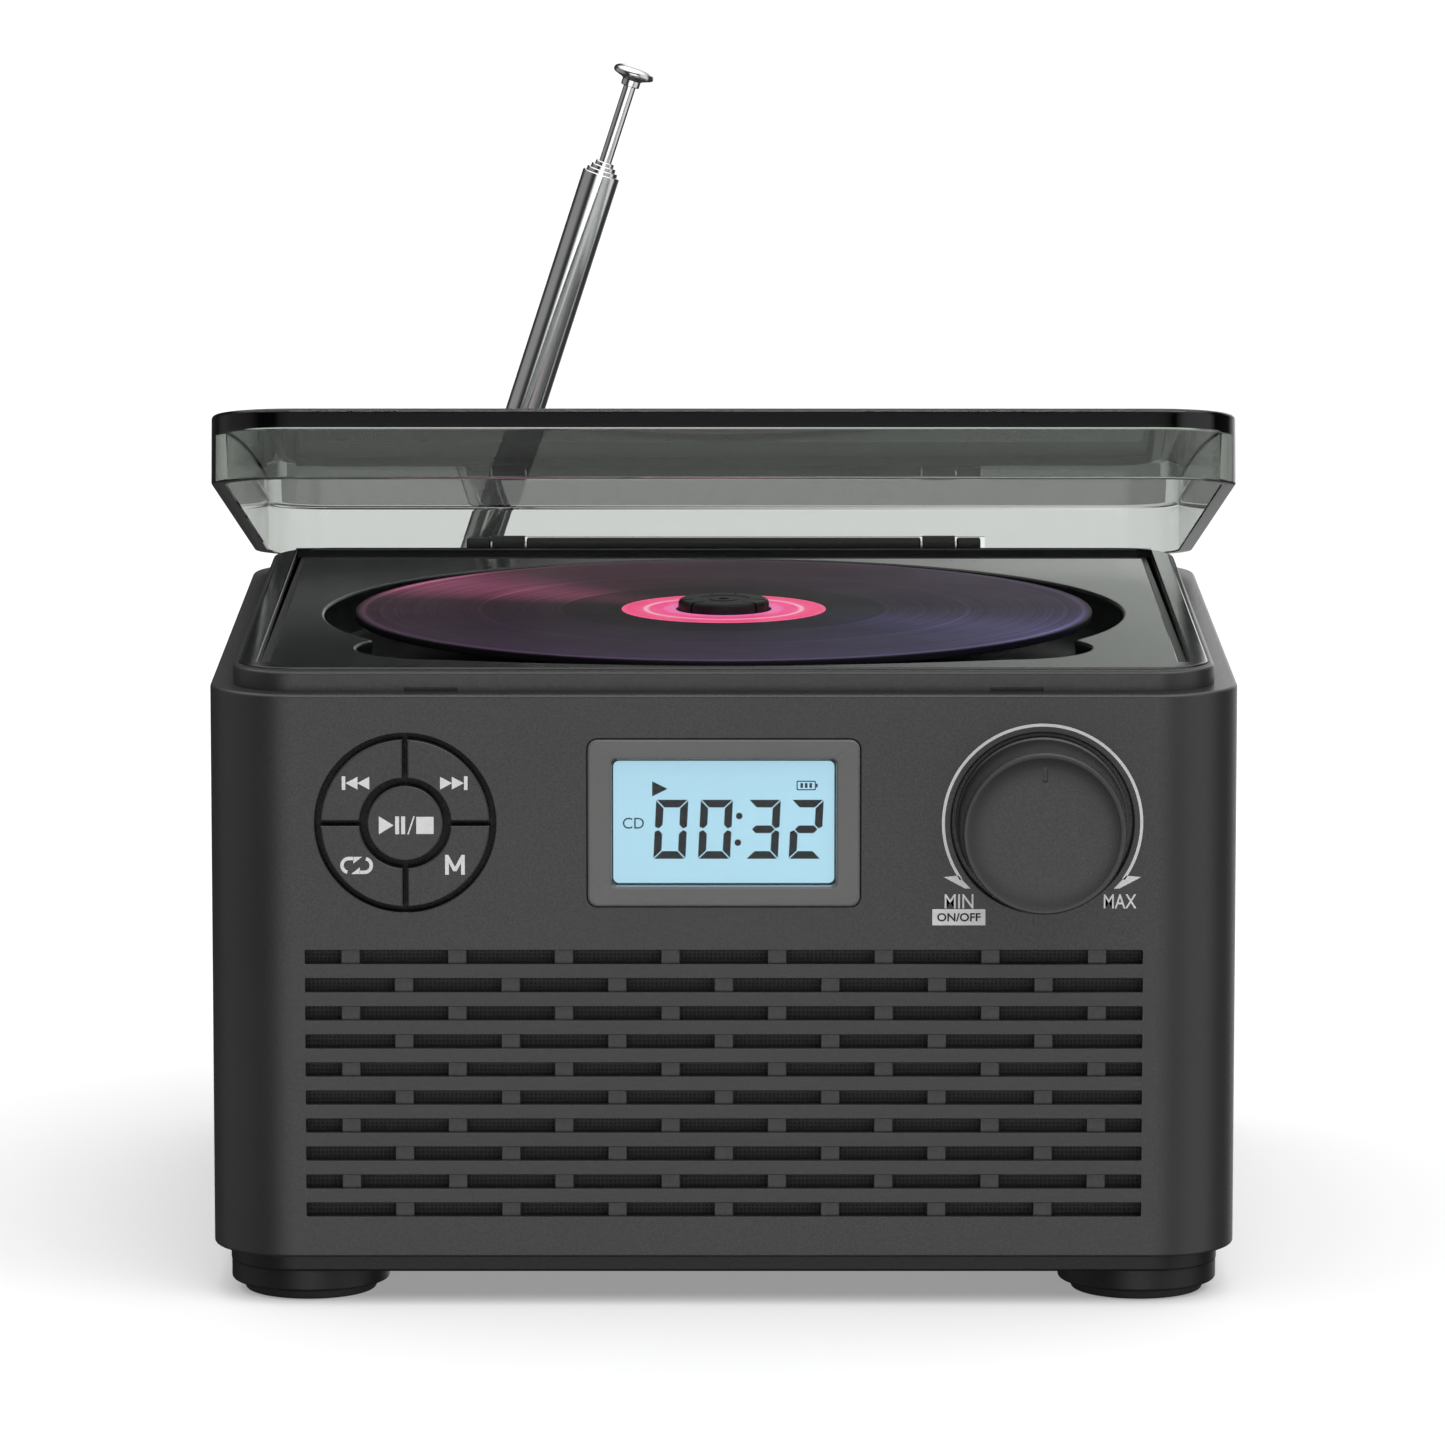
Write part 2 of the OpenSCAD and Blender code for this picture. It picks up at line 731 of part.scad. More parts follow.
module speaker_basket_right() {
    speaker_basket(speaker_x);
}

module speaker_cone_left() {
    speaker_cone(-speaker_x);
}

module speaker_cone_right() {
    speaker_cone(speaker_x);
}

module speaker_magnet_left() {
    speaker_magnet(-speaker_x);
}

module speaker_magnet_right() {
    speaker_magnet(speaker_x);
}

module cd_chassis() {
    top = rod_z + 3.5;
    color([0.12, 0.12, 0.12]) difference() {
        union() {
            span([-41, -36, chassis_z], [41, 63, chassis_z + chassis_t]);
            for (y = [2, 60]) {
                span([-rod_x - 4, y, chassis_z], [4 - rod_x, y + 3, top]);
                span([rod_x - 4, y, chassis_z], [screw_x + 3.5, y + 3, top]);
            }
        }
        for (x = [-rod_x, rod_x]) y_cyl(rod_r + 0.02, 1, 64, x, rod_z);
        y_cyl(rod_r + 0.06, 1, 64, screw_x, rod_z);
        for (s = [-1, 1], y = damper_y) z_cyl(3.02, chassis_z - eps, chassis_z + 3, s * damper_x, y);
    }
}

module damper_bushes() {
    color([0.1, 0.1, 0.1]) for (s = [-1, 1], y = damper_y) difference() {
        union() {
            z_cyl(3, chassis_z - 1, chassis_z + 4, s * damper_x, y);
            z_cyl(4.2, chassis_z - 1.5, chassis_z, s * damper_x, y);
            z_cyl(4.2, chassis_z + chassis_t, chassis_z + 4, s * damper_x, y);
        }
        z_cyl(1.5, chassis_z - 2, chassis_z + 5, s * damper_x, y);
    }
}

module spindle_motor() {
    color([0.72, 0.72, 0.74]) difference() {
        union() {
            z_cyl(12, chassis_z + chassis_t, 89.5, 0, disc_y);
            z_cyl(3, 89.5, 91, 0, disc_y);
        }
        z_cyl(1.06, chassis_z + chassis_t + 1, 92, 0, disc_y);
    }
}

module turntable() {
    hub_top = ledge_z + 5.45;
    color([0.05, 0.05, 0.05]) translate([0, disc_y, 0]) difference() {
        union() {
            z_cyl(1, 83, 94);
            z_cyl(5, 93, 98);
            z_cyl(14, 97.8, disc_low_z);
            z_cyl(hub_r, disc_low_z - 0.2, hub_top);
        }
        z_cyl(0.85, disc_low_z, hub_top + eps);
        for (a = [90, 210, 330], s = [-1, 1]) rotate(a)
            translate([4, s * 1.9 - 0.25, disc_low_z + 0.6]) cube([5, 0.5, 4]);
    }
}

module disc() {
    color([0.2, 0.12, 0.18]) translate([0, disc_y, 0]) difference() {
        z_cyl(disc_d / 2, disc_low_z, disc_top_z, $fn = 180);
        z_cyl(7.5, disc_low_z - eps, disc_top_z + eps);
    }
}

module laser_sled() {
    color([0.45, 0.45, 0.47]) difference() {
        union() {
            span([-17, sled_y[0], rod_z - 3], [17, sled_y[1], rod_z + 5]);
            span([-25, sled_y[0], rod_z - 3], [25, sled_y[1], rod_z + 3]);
            span([24, lens_y - 3, rod_z - 1], [screw_x - rod_r - 0.1, lens_y + 3, rod_z + 1]);
            z_cyl(5.5, rod_z + 5, 95.5, 0, lens_y);
        }
        for (x = [-rod_x, rod_x]) y_cyl(rod_r + 0.06, 0, 40, x, rod_z);
        z_cyl(2.6, 94.3, 96, 0, lens_y);
    }
}

module laser_lens() {
    color([0.5, 0.6, 0.8, 0.6]) translate([0, lens_y, 94.3]) rotate_extrude() intersection() {
        translate([0, -1.6]) circle(4, $fn = 96);
        square([2.5, 2.4]);
    }
}

module guide_rods() {
    color([0.78, 0.78, 0.8]) for (x = [-rod_x, rod_x]) y_cyl(rod_r, 2, 63, x, rod_z);
}

module sled_motor() {
    color([0.7, 0.7, 0.72]) difference() {
        y_cyl(5.5, 63, 73, screw_x, rod_z);
        y_cyl(rod_r + 0.06, 62, 68, screw_x, rod_z);
    }
}

module lead_screw() {
    color([0.8, 0.76, 0.6]) y_cyl(rod_r, 2.2, 67.5, screw_x, rod_z);
}

module main_board() {
    color([0.1, 0.35, 0.2]) {
        span([-55, board_y, 18], [55, board_y + 1.6, 70]);
        for (x = [-40, -14, 12]) span([x, board_y - 1.2, 48], [x + 12, board_y, 60]);
        for (x = [28, 38]) y_cyl(3, board_y - 8, board_y, x, 54);
    }
}

module battery() {
    color([0.2, 0.35, 0.6]) for (y = [22, 41.5]) x_cyl(9.2, -33, 33, y, plate_top_z + 9.2);
}

main_shell();
bottom_cover();
rubber_feet();
base_screws();
top_frame();
deck_plate();
disc_tray();
lid();
hinge_bar();
hinge_pin();
rear_plate();
rear_plate_screws();
usb_socket();
aux_socket();
headphone_socket();
antenna_socket();
antenna_swivel();
antenna_washer();
antenna_pin();
antenna_tube_1();
antenna_tube_2();
antenna_tube_3();
antenna_tube_4();
antenna_rod();
antenna_cap();
button_previous();
button_next();
button_repeat();
button_mode();
button_play();
button_carrier();
key_board();
key_switches();
volume_knob();
volume_shaft();
volume_pot();
volume_nut();
lcd_bezel();
lcd_window();
lcd_panel();
display_board();
grille_cloth();
speaker_basket_left();
speaker_basket_right();
speaker_cone_left();
speaker_cone_right();
speaker_magnet_left();
speaker_magnet_right();
cd_chassis();
spindle_motor();
turntable();
disc();
laser_sled();
laser_lens();
guide_rods();
sled_motor();
lead_screw();
damper_bushes();
main_board();
battery();
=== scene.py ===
import json
import math

import bmesh
import bpy
from mathutils import Matrix, Vector


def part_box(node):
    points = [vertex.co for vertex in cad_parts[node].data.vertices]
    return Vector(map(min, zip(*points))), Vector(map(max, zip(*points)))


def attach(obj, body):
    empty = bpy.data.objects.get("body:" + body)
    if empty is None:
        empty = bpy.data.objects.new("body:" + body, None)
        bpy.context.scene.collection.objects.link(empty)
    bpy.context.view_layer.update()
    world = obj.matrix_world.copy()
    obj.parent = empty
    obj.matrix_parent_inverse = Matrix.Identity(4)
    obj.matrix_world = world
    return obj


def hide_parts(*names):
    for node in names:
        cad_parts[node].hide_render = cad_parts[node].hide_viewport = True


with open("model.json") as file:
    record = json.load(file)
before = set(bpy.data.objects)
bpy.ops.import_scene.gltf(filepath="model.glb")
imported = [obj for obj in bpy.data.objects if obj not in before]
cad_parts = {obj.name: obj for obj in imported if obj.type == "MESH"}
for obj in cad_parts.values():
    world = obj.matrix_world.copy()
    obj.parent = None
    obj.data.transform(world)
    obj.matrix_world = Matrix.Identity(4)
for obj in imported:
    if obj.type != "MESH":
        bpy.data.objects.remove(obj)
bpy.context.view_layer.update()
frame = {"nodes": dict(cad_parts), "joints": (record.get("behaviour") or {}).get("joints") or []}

# The looks of a portable CD player. Shapes are worked out in millimetres from the CAD nodes' boxes and
# scaled to metres when each piece is made. Every outline is a list of (a, b) points.
MM = 0.001


def node_box(node):
    """A CAD node's lowest and highest corner in millimetres."""
    low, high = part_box(node)
    return low / MM, high / MM


def joint(name):
    return next(j for j in frame["joints"] if j["name"] == name)


def pivot(name):
    """A joint's place in millimetres."""
    return Vector(joint(name)["pos_m"]) / MM


# Places read from the frame
CASE_LOW, CASE_HIGH = node_box("main_shell")
FRONT = CASE_LOW.y
REAR = -FRONT
HALF_W = CASE_HIGH.x
CASE_BOTTOM = CASE_LOW.z
FRAME_LOW, FRAME_HIGH = node_box("top_frame")
LEDGE = FRAME_LOW.z
DECK_LOW, DECK_HIGH = node_box("deck_plate")
TRAY_LOW = node_box("disc_tray")[0].z + 14.5
DISC_LOW, DISC_HIGH = node_box("disc")
DISC_Y = pivot("spindle_spin").y
AT_DISC = Matrix.Translation((0, DISC_Y, 0))
HINGE = pivot("lid_hinge")
MAST = pivot("antenna_tilt")
MAST_AXIS = Vector(joint("antenna_slide_2")["axis"])
KNOB = pivot("knob_turn")
KEYS_X = -KNOB.x
CONTROL_Z = KNOB.z

# Sizes of the case
CORNER = 13.5
WALL = 2.4
TOP_WALL = 3.5
PLINTH_INSET = HALF_W - FRAME_HIGH.x
LID_OPEN = math.radians(12)
LID_W = 2 * HALF_W - 0.6
LID_D = REAR - FRONT - 0.7
LID_R = CORNER - 0.3
LID_LOW = LEDGE + 1.7
LID_HIGH = LID_LOW + 10.9
LID_TOP = 2.75
LID_WALL = 2.4
LID_FLAP = 0.9
LID_NOTCH = LEDGE + 4.9
LID_SWING = Matrix.Translation(HINGE) @ Matrix.Rotation(-LID_OPEN, 4, "X") @ Matrix.Translation(-HINGE)
LATCH_X = 45.6
LUG_X = (34.2, 39.8)
AT_FEET = [Matrix.Translation((side * (HALF_W - 15.1), end * (REAR - 15.6), 0))
           for side in (-1, 1) for end in (-1, 1)]

# Sizes of the front
BEZEL = (42.4, 26.3)
WINDOW = (35.1, 20.2)
LIT = (34.4, 19.26)
KEY_HOLE = 14.05
RECESS = 14.1
ROWS = 10
SLOT_H = 2.2
SLOT_TOP = 55.6
SLOT_PITCH = 4.46
GRILLE_W = 130.6
RIB_PITCH = 16.64
RIB_HALF = 1.5
RIB_BACK = 0.8
PRINT = [(0, 0), (0, 0.03)]
SEGMENTS = {"0": "abcdef", "2": "abged", "3": "abgcd"}


# ---------------------------------------------------------------- outlines

def arc(cx, cy, r, a0, a1, n):
    """n + 1 points of an arc, angles in degrees."""
    turn = [math.radians(a0 + (a1 - a0) * i / n) for i in range(n + 1)]
    return [(cx + r * math.cos(t), cy + r * math.sin(t)) for t in turn]


def circle(r, cx=0, cy=0, n=96):
    return arc(cx, cy, r, 0, 360, n)[:-1]


def rounded(w, h, r, cx=0, cy=0, n=12):
    """A rounded rectangle, anticlockwise from the right end of its top right corner."""
    points = []
    for i, (sx, sy) in enumerate([(1, 1), (-1, 1), (-1, -1), (1, -1)]):
        points += arc(cx + sx * (w / 2 - r), cy + sy * (h / 2 - r), r, 90 * i, 90 * i + 90, n)
    return points


def framed(w, h, r, cx=0, cy=0, n=12):
    """A rounded rectangle as a function of how far it is grown."""
    return lambda g: rounded(w + 2 * g, h + 2 * g, r + g, cx, cy, n)


def grown(points, g):
    """A polygon, anticlockwise, with every side moved outwards by g."""
    out = []
    for i, p in enumerate(points):
        before = Vector(points[i - 1])
        here = Vector(p)
        after = Vector(points[(i + 1) % len(points)])
        a = (here - before).normalized()
        b = (after - here).normalized()
        na = Vector((a.y, -a.x))
        nb = Vector((b.y, -b.x))
        out.append(tuple(here + (na + nb) * (g / max(0.3, 1 + na.dot(nb)))))
    return out


def well(g, n=540):
    """The disc well's outline: a circle with a flatter front and a finger lobe at each front corner."""
    radius, lobe, front_radius, front_centre = 65 + g, 13.3 + g, 161 + g, 100.0
    lobe_x, lobe_y, spread = 44.9, -41.3, 44.9

    def reach(ux, uy, cx, cy, r):
        along = cx * ux + cy * uy
        root = along * along - cx * cx - cy * cy + r * r
        return along + math.sqrt(root) if root > 0 else 0

    points = []
    for i in range(n):
        t = 2 * math.pi * i / n
        ux, uy = math.cos(t), math.sin(t)
        limit = reach(ux, uy, 0, front_centre, front_radius)
        far = min(radius, limit)
        if uy < 0 and abs(limit * ux) < spread:
            far = limit
        for s in (-1, 1):
            far = max(far, reach(ux, uy, s * lobe_x, lobe_y, lobe))
        points.append((far * ux, DISC_Y + far * uy))
    return points


def fillet(f, n=4):
    """(grow, depth) levels of a rounded rim, from the face into the hole."""
    turn = [math.pi / 2 * i / n for i in range(n + 1)]
    return [(f * (1 - math.sin(t)), f * (1 - math.cos(t))) for t in turn]


def edge(f, n=4):
    """(grow, depth) levels of a rounded outer edge, from the face down the side."""
    return [(-g, d) for g, d in fillet(f, n)]


# ---------------------------------------------------------------- places

def on_front(y):
    return lambda p, d: (p[0], y + d, p[1])


def on_rear(y):
    return lambda p, d: (p[0], y - d, p[1])


def on_top(z):
    return lambda p, d: (p[0], p[1], z - d)


def across(x):
    """Outlines drawn in Y and Z, running along X from x."""
    return lambda p, d: (x + d, p[0], p[1])


# ---------------------------------------------------------------- meshes

def add_ring(bm, points):
    return [bm.verts.new(p) for p in points]


def bridge(bm, a, b, skip=()):
    for i in range(len(a)):
        j = (i + 1) % len(a)
        if i not in skip:
            bm.faces.new((a[i], a[j], b[j], b[i]))


def fill(bm, *loops):
    """A flat face with the first loop as its outline and the others as its holes."""
    edges = []
    for loop in loops:
        for i, v in enumerate(loop):
            w = loop[(i + 1) % len(loop)]
            edges.append(bm.edges.get((v, w)) or bm.edges.new((v, w)))
    bmesh.ops.triangle_fill(bm, use_beauty=True, use_dissolve=False, edges=edges)


def stack(bm, outline, levels, place):
    """Rings of outline(grow) at each (grow, depth), joined up. Returns the rings."""
    rings = [add_ring(bm, [place(p, d) for p in outline(g)]) for g, d in levels]
    for a, b in zip(rings, rings[1:]):
        bridge(bm, a, b)
    return rings


def solid(bm, outline, levels, place):
    """A stack closed by a face at each end."""
    rings = stack(bm, outline, levels, place)
    fill(bm, rings[0])
    fill(bm, rings[-1])


def prism(bm, points, length, place, round_edge=0.15):
    """A solid bar of one outline with rounded ends."""
    end = [(g, length - d) for g, d in reversed(edge(round_edge, 3))]
    solid(bm, lambda g: grown(points, g), edge(round_edge, 3) + end, place)


def tube(bm, outline, inner, levels, place):
    """A closed ring between an outline and a second one, each with its own levels."""
    outside = stack(bm, outline, levels[0], place)
    inside = stack(bm, inner, levels[1], place)
    fill(bm, outside[0], inside[0])
    fill(bm, outside[-1], inside[-1])


def lathe(bm, profile, matrix=Matrix.Identity(4), n=96, closed=False):
    """Turns (radius, height) points about Z; a point on the axis becomes a pole."""
    rings = []
    for r, h in profile:
        if r < 1e-6:
            rings.append([bm.verts.new(matrix @ Vector((0, 0, h)))])
        else:
            rings.append([bm.verts.new(matrix @ Vector((x, y, h))) for x, y in circle(r, n=n)])
    pairs = list(zip(rings, rings[1:]))
    if closed:
        pairs.append((rings[-1], rings[0]))
    for a, b in pairs:
        if len(a) == 1 or len(b) == 1:
            pole, ring = (a[0], b) if len(a) == 1 else (b[0], a)
            for i in range(n):
                bm.faces.new((pole, ring[i], ring[(i + 1) % n]))
        else:
            bridge(bm, a, b)


def rim(r, h, f, a0, a1, n=5):
    """Profile points of a rounded corner about (r, h)."""
    return arc(r, h, f, a0, a1, n)


def to_mesh(bm, name, place=None):
    """Turns a bmesh in millimetres into a mesh in metres."""
    bmesh.ops.recalc_face_normals(bm, faces=bm.faces)
    if place is not None:
        bmesh.ops.transform(bm, matrix=place, verts=bm.verts)
    bmesh.ops.scale(bm, vec=(MM, MM, MM), verts=bm.verts)
    mesh = bpy.data.meshes.new(name)
    bm.to_mesh(mesh)
    bm.free()
    return mesh


def add_object(name, data):
    made = bpy.data.objects.new(name, data)
    bpy.context.scene.collection.objects.link(made)
    return made


def make(name, body, bm, material, replaces=(), sharp=28, cutters=(), place=None):
    """Closes a bmesh in millimetres into a piece that rides on a body."""
    bmesh.ops.remove_doubles(bm, verts=bm.verts, dist=1e-4)
    piece = add_object(name, to_mesh(bm, name, place))
    for tool in cutters:
        carve(piece, tool)
    mesh = piece.data
    for face in mesh.polygons:
        face.use_smooth = True
    mesh.set_sharp_from_angle(angle=math.radians(sharp))
    even = piece.modifiers.new("even_shading", "WEIGHTED_NORMAL")
    even.keep_sharp = True
    mesh.materials.clear()
    mesh.materials.append(material)
    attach(piece, body)
    if replaces:
        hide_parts(*replaces)


def cutter(build, place=None):
    """A helper solid for a cut, in the same millimetre space."""
    bm = bmesh.new()
    build(bm)
    return add_object("cutter", to_mesh(bm, "cutter", place))


def carve(piece, tool):
    """Cuts a helper solid out of a piece and removes the helper."""
    change = piece.modifiers.new("carve", "BOOLEAN")
    change.operation = "DIFFERENCE"
    change.solver = "EXACT"
    change.object = tool
    bpy.context.view_layer.update()
    shaped = piece.evaluated_get(bpy.context.evaluated_depsgraph_get())
    mesh = bpy.data.meshes.new_from_object(shaped)
    piece.modifiers.clear()
    piece.data = mesh
    bpy.data.objects.remove(tool)


def box_tool(low, high):
    """A builder of a box between two corners."""
    corners = [(low[0], low[1]), (high[0], low[1]), (high[0], high[1]), (low[0], high[1])]
    levels = [(0, low[2]), (0, high[2])]
    return lambda bm: solid(bm, lambda g: corners, levels, lambda p, d: (*p, d))


# ---------------------------------------------------------------- materials

def put(tree, socket, value):
    """Links a node's output to a socket, or sets the socket's own value."""
    if isinstance(value, bpy.types.NodeSocket):
        tree.links.new(value, socket)
    elif socket.type == "RGBA":
        socket.default_value = (*value, 1)
    else:
        socket.default_value = value


def dress(tree, made, **values):
    """Fills a node's inputs by name, with "_" for a space."""
    for name, value in values.items():
        put(tree, made.inputs[name.replace("_", " ")], value)


def node(tree, kind, **values):
    """A new node with its settings and its inputs filled in by name."""
    made = tree.nodes.new("ShaderNode" + kind)
    for name, value in values.items():
        if name in made.bl_rna.properties:
            setattr(made, name, value)
        else:
            dress(tree, made, **{name: value})
    return made


def shader(name, color, rough, **values):
    """A Principled material with its plain values set on the shader's own sockets."""
    material = bpy.data.materials.new(name)
    material.use_nodes = True
    tree = material.node_tree
    bsdf = tree.nodes["Principled BSDF"]
    dress(tree, bsdf, Base_Color=color, Roughness=rough, **values)
    return material, tree, bsdf


def scaled(color, factor):
    return tuple(c * factor for c in color)


def own_space(tree):
    """The piece's own coordinates, in metres."""
    return node(tree, "TexCoord").outputs["Object"]


def noise(tree, scale, detail=4.0, rough=0.55):
    """Noise in metres, so that grain keeps its real size."""
    made = node(tree, "TexNoise", Vector=own_space(tree), Scale=scale, Detail=detail, Roughness=rough)
    return made.outputs["Fac"]


def spread(tree, value, low, high, start=0.3, end=0.7):
    """value mapped from start..end to low..high."""
    made = node(tree, "MapRange", Value=value, From_Min=start, From_Max=end, To_Min=low, To_Max=high)
    return made.outputs["Result"]


def calc(tree, operation, *values):
    """The result of a Math node."""
    made = node(tree, "Math", operation=operation)
    for socket, value in zip(made.inputs, values):
        put(tree, socket, value)
    return made.outputs[0]


def blend(tree, factor, first, second, mode="MIX"):
    """Two colours, each plain or from a node, mixed or multiplied."""
    made = node(tree, "Mix", data_type="RGBA", blend_type=mode)
    for socket, value in ((0, factor), (6, first), (7, second)):
        put(tree, made.inputs[socket], value)
    return made.outputs[2]


def ramp(tree, factor, stops):
    """A colour ramp with a colour at each place from 0 to 1."""
    made = node(tree, "ValToRGB")
    elements = made.color_ramp.elements
    while len(elements) < len(stops):
        elements.new(0.5)
    for element, (place, color) in zip(elements, stops):
        element.position = place
        element.color = (*color, 1)
    put(tree, made.inputs[0], factor)
    return made.outputs[0]


def bump(tree, bsdf, height, distance):
    made = node(tree, "Bump", Height=height, Distance=distance, Strength=1.0)
    dress(tree, bsdf, Normal=made.outputs["Normal"])


def mixed_surface(tree, factor, first, second, output):
    """Sends a mix of two shaders to the output's surface."""
    made = node(tree, "MixShader")
    for socket, value in zip(made.inputs, (factor, first.outputs[0], second.outputs[0])):
        put(tree, socket, value)
    dress(tree, tree.nodes[output], Surface=made.outputs[0])


def pass_shadows(tree, bsdf, color=(1, 1, 1)):
    """Lets lamps shine through a clear shader, tinted by a colour."""
    clear = node(tree, "BsdfTransparent", Color=color)
    is_shadow = node(tree, "LightPath").outputs["Is Shadow Ray"]
    mixed_surface(tree, is_shadow, bsdf, clear, "Material Output")


def moulded(name, color, rough, grain=2600, depth=0.000012, mottle=0.06, **values):
    """Moulded plastic: fine spark-eroded grain, faint mottling and a painted highlight that makes edges
    a little lighter.
    """
    material, tree, bsdf = shader(name, color, rough, **values)
    cloud = spread(tree, noise(tree, 45, 3), 0, 1)
    base = blend(tree, cloud, scaled(color, 1 - mottle), scaled(color, 1 + mottle))
    # Painted highlight: edges found by pointiness are lightened, broken up by noise.
    edges = spread(tree, node(tree, "NewGeometry").outputs["Pointiness"], 0, 0.15, 0.52, 0.62)
    edge_highlight = calc(tree, "MULTIPLY", edges, spread(tree, noise(tree, 260, 3), 0.2, 1))
    edge_highlight_color = tuple(min(1, c * 1.9 + 0.01) for c in color)
    fine = noise(tree, grain, 2, 0.6)
    gloss = spread(tree, fine, rough - 0.05, rough + 0.06)
    dress(tree, bsdf, Base_Color=blend(tree, edge_highlight, base, edge_highlight_color), Roughness=gloss)
    bump(tree, bsdf, fine, depth)
    return material


def polished(name, color, rough):
    """Glossy plastic with faint smears in its polish."""
    material, tree, bsdf = shader(name, color, rough)
    film = noise(tree, 30, 5, 0.6)
    base = blend(tree, spread(tree, film, 0, 1), color, scaled(color, 1.25))
    dress(tree, bsdf, Base_Color=base, Roughness=spread(tree, film, rough, rough + 0.05))
    bump(tree, bsdf, noise(tree, 70, 2), 0.00001)
    return material


def metal(name, color, rough, brush=900, stretch=(1, 1, 1), depth=0.000004):
    """Metal with fine drawn or turned lines and a soft change of polish."""
    material, tree, bsdf = shader(name, color, rough, Metallic=1.0)
    along = node(tree, "Mapping", Vector=own_space(tree), Scale=stretch).outputs["Vector"]
    lines = node(tree, "TexNoise", Vector=along, Scale=brush, Detail=3.0).outputs["Fac"]
    cloud = noise(tree, 120, 4)
    shade = blend(tree, spread(tree, cloud, 0, 1), scaled(color, 0.93), color)
    gloss = spread(tree, cloud, rough * 0.75, rough * 1.35)
    dress(tree, bsdf, Base_Color=shade, Roughness=gloss)
    bump(tree, bsdf, lines, depth)
    return material


def smoked_plastic():
    """Clear smoked acrylic that lets lamps through and darkens with its thickness."""
    pale = (0.97, 0.98, 0.97)
    material, tree, bsdf = shader("smoked_clear", pale, 0.0, Transmission_Weight=1.0, IOR=1.46)
    dress(tree, bsdf, Roughness=spread(tree, noise(tree, 60), 0.0, 0.003))
    smoke = node(tree, "VolumeAbsorption", Color=(0.25, 0.29, 0.25), Density=325.0)
    dress(tree, tree.nodes["Material Output"], Volume=smoke.outputs[0])
    pass_shadows(tree, bsdf, (0.91, 0.93, 0.92))
    return material


def window_plastic():
    """Clear plastic with little gloss, for the display's window and the laser's lens."""
    pale = (0.97, 0.99, 1.0)
    material, tree, bsdf = shader("window_clear", pale, 0.03, Transmission_Weight=1.0, IOR=1.2)
    dress(tree, bsdf, Roughness=spread(tree, noise(tree, 90), 0.02, 0.06))
    pass_shadows(tree, bsdf)
    return material


def lit_display():
    """The display's backlight, very slightly uneven."""
    color = (0.40, 0.665, 0.79)
    material, tree, bsdf = shader("display_lit", scaled(color, 0.25), 0.5, Emission_Strength=0.8)
    cloud = spread(tree, noise(tree, 40, 2), 0, 1)
    dress(tree, bsdf, Emission_Color=blend(tree, cloud, scaled(color, 0.97), color))
    return material


def about_axis(tree):
    """Distance from the disc's axis, in metres, and the angle about it."""
    shift = node(tree, "Mapping", Vector=own_space(tree), Location=(0, -DISC_Y * MM, 0))
    split = node(tree, "SeparateXYZ", Vector=shift.outputs["Vector"])
    x, y = split.outputs["X"], split.outputs["Y"]
    flat_place = node(tree, "CombineXYZ", X=x, Y=y).outputs[0]
    radius = node(tree, "VectorMath", operation="LENGTH", Vector=flat_place).outputs["Value"]
    return radius, calc(tree, "ARCTAN2", y, x)


def ring_grain(tree, radius, scale):
    """Uneven rings about the disc's axis."""
    made = node(tree, "TexNoise", noise_dimensions="1D", W=radius, Scale=scale, Detail=3.0,
                Roughness=0.6)
    return made.outputs["Fac"]


def disc_face():
    """Dark print with fine rings, purple-black, with a painted sheen that is rose on one side and blue
    on the other, a painted highlight ring just inside the rim and painted shade on the rim's edge.
    """
    material, tree, bsdf = shader("disc_face", (0.06, 0.03, 0.06), 0.45, Specular_IOR_Level=0.12)
    radius, angle = about_axis(tree)
    # Painted sheen: colour by angle about the axis, rose on one side and blue on the other, standing in
    # for the disc's reflection.
    painted_sheen = ramp(tree, spread(tree, angle, 0, 1, -math.pi, math.pi), [
        (0.0, (0.036, 0.014, 0.028)), (0.10, (0.034, 0.015, 0.038)), (0.25, (0.034, 0.020, 0.050)),
        (0.36, (0.042, 0.032, 0.085)), (0.43, (0.075, 0.060, 0.175)), (0.50, (0.032, 0.020, 0.050)),
        (0.62, (0.038, 0.019, 0.046)), (0.74, (0.034, 0.013, 0.027)), (0.85, (0.075, 0.024, 0.045)),
        (0.90, (0.340, 0.080, 0.170)), (0.925, (0.300, 0.070, 0.145)), (0.965, (0.050, 0.018, 0.034)),
        (1.0, (0.036, 0.014, 0.028))])
    # Levels by radius: the dark inner ring and printed rings, then a painted highlight ring just inside
    # the rim and painted shade on the rim's edge.
    ring_and_rim_light_zones = [(0.0, 0.10), (0.44, 0.26), (0.449, 1.1), (0.458, 0.62), (0.66, 0.80), (0.668, 1.9),
             (0.677, 0.80), (0.91, 1.0), (0.918, 1.6), (0.925, 1.0), (0.965, 1.0), (0.978, 3.4),
             (0.988, 1.6), (0.994, 0.08)]
    bands = ramp(tree, spread(tree, radius, 0, 1, 0.0, 0.060), [(at, (v, v, v)) for at, v in ring_and_rim_light_zones])
    rings = spread(tree, ring_grain(tree, radius, 1300), 0.5, 1.55)
    banded = blend(tree, 1.0, painted_sheen, bands, "MULTIPLY")
    face = blend(tree, 1.0, banded, rings, "MULTIPLY")
    dress(tree, bsdf, Base_Color=face, Roughness=spread(tree, noise(tree, 40), 0.42, 0.5))
    bump(tree, bsdf, ring_grain(tree, radius, 1700), 0.00001)
    return material


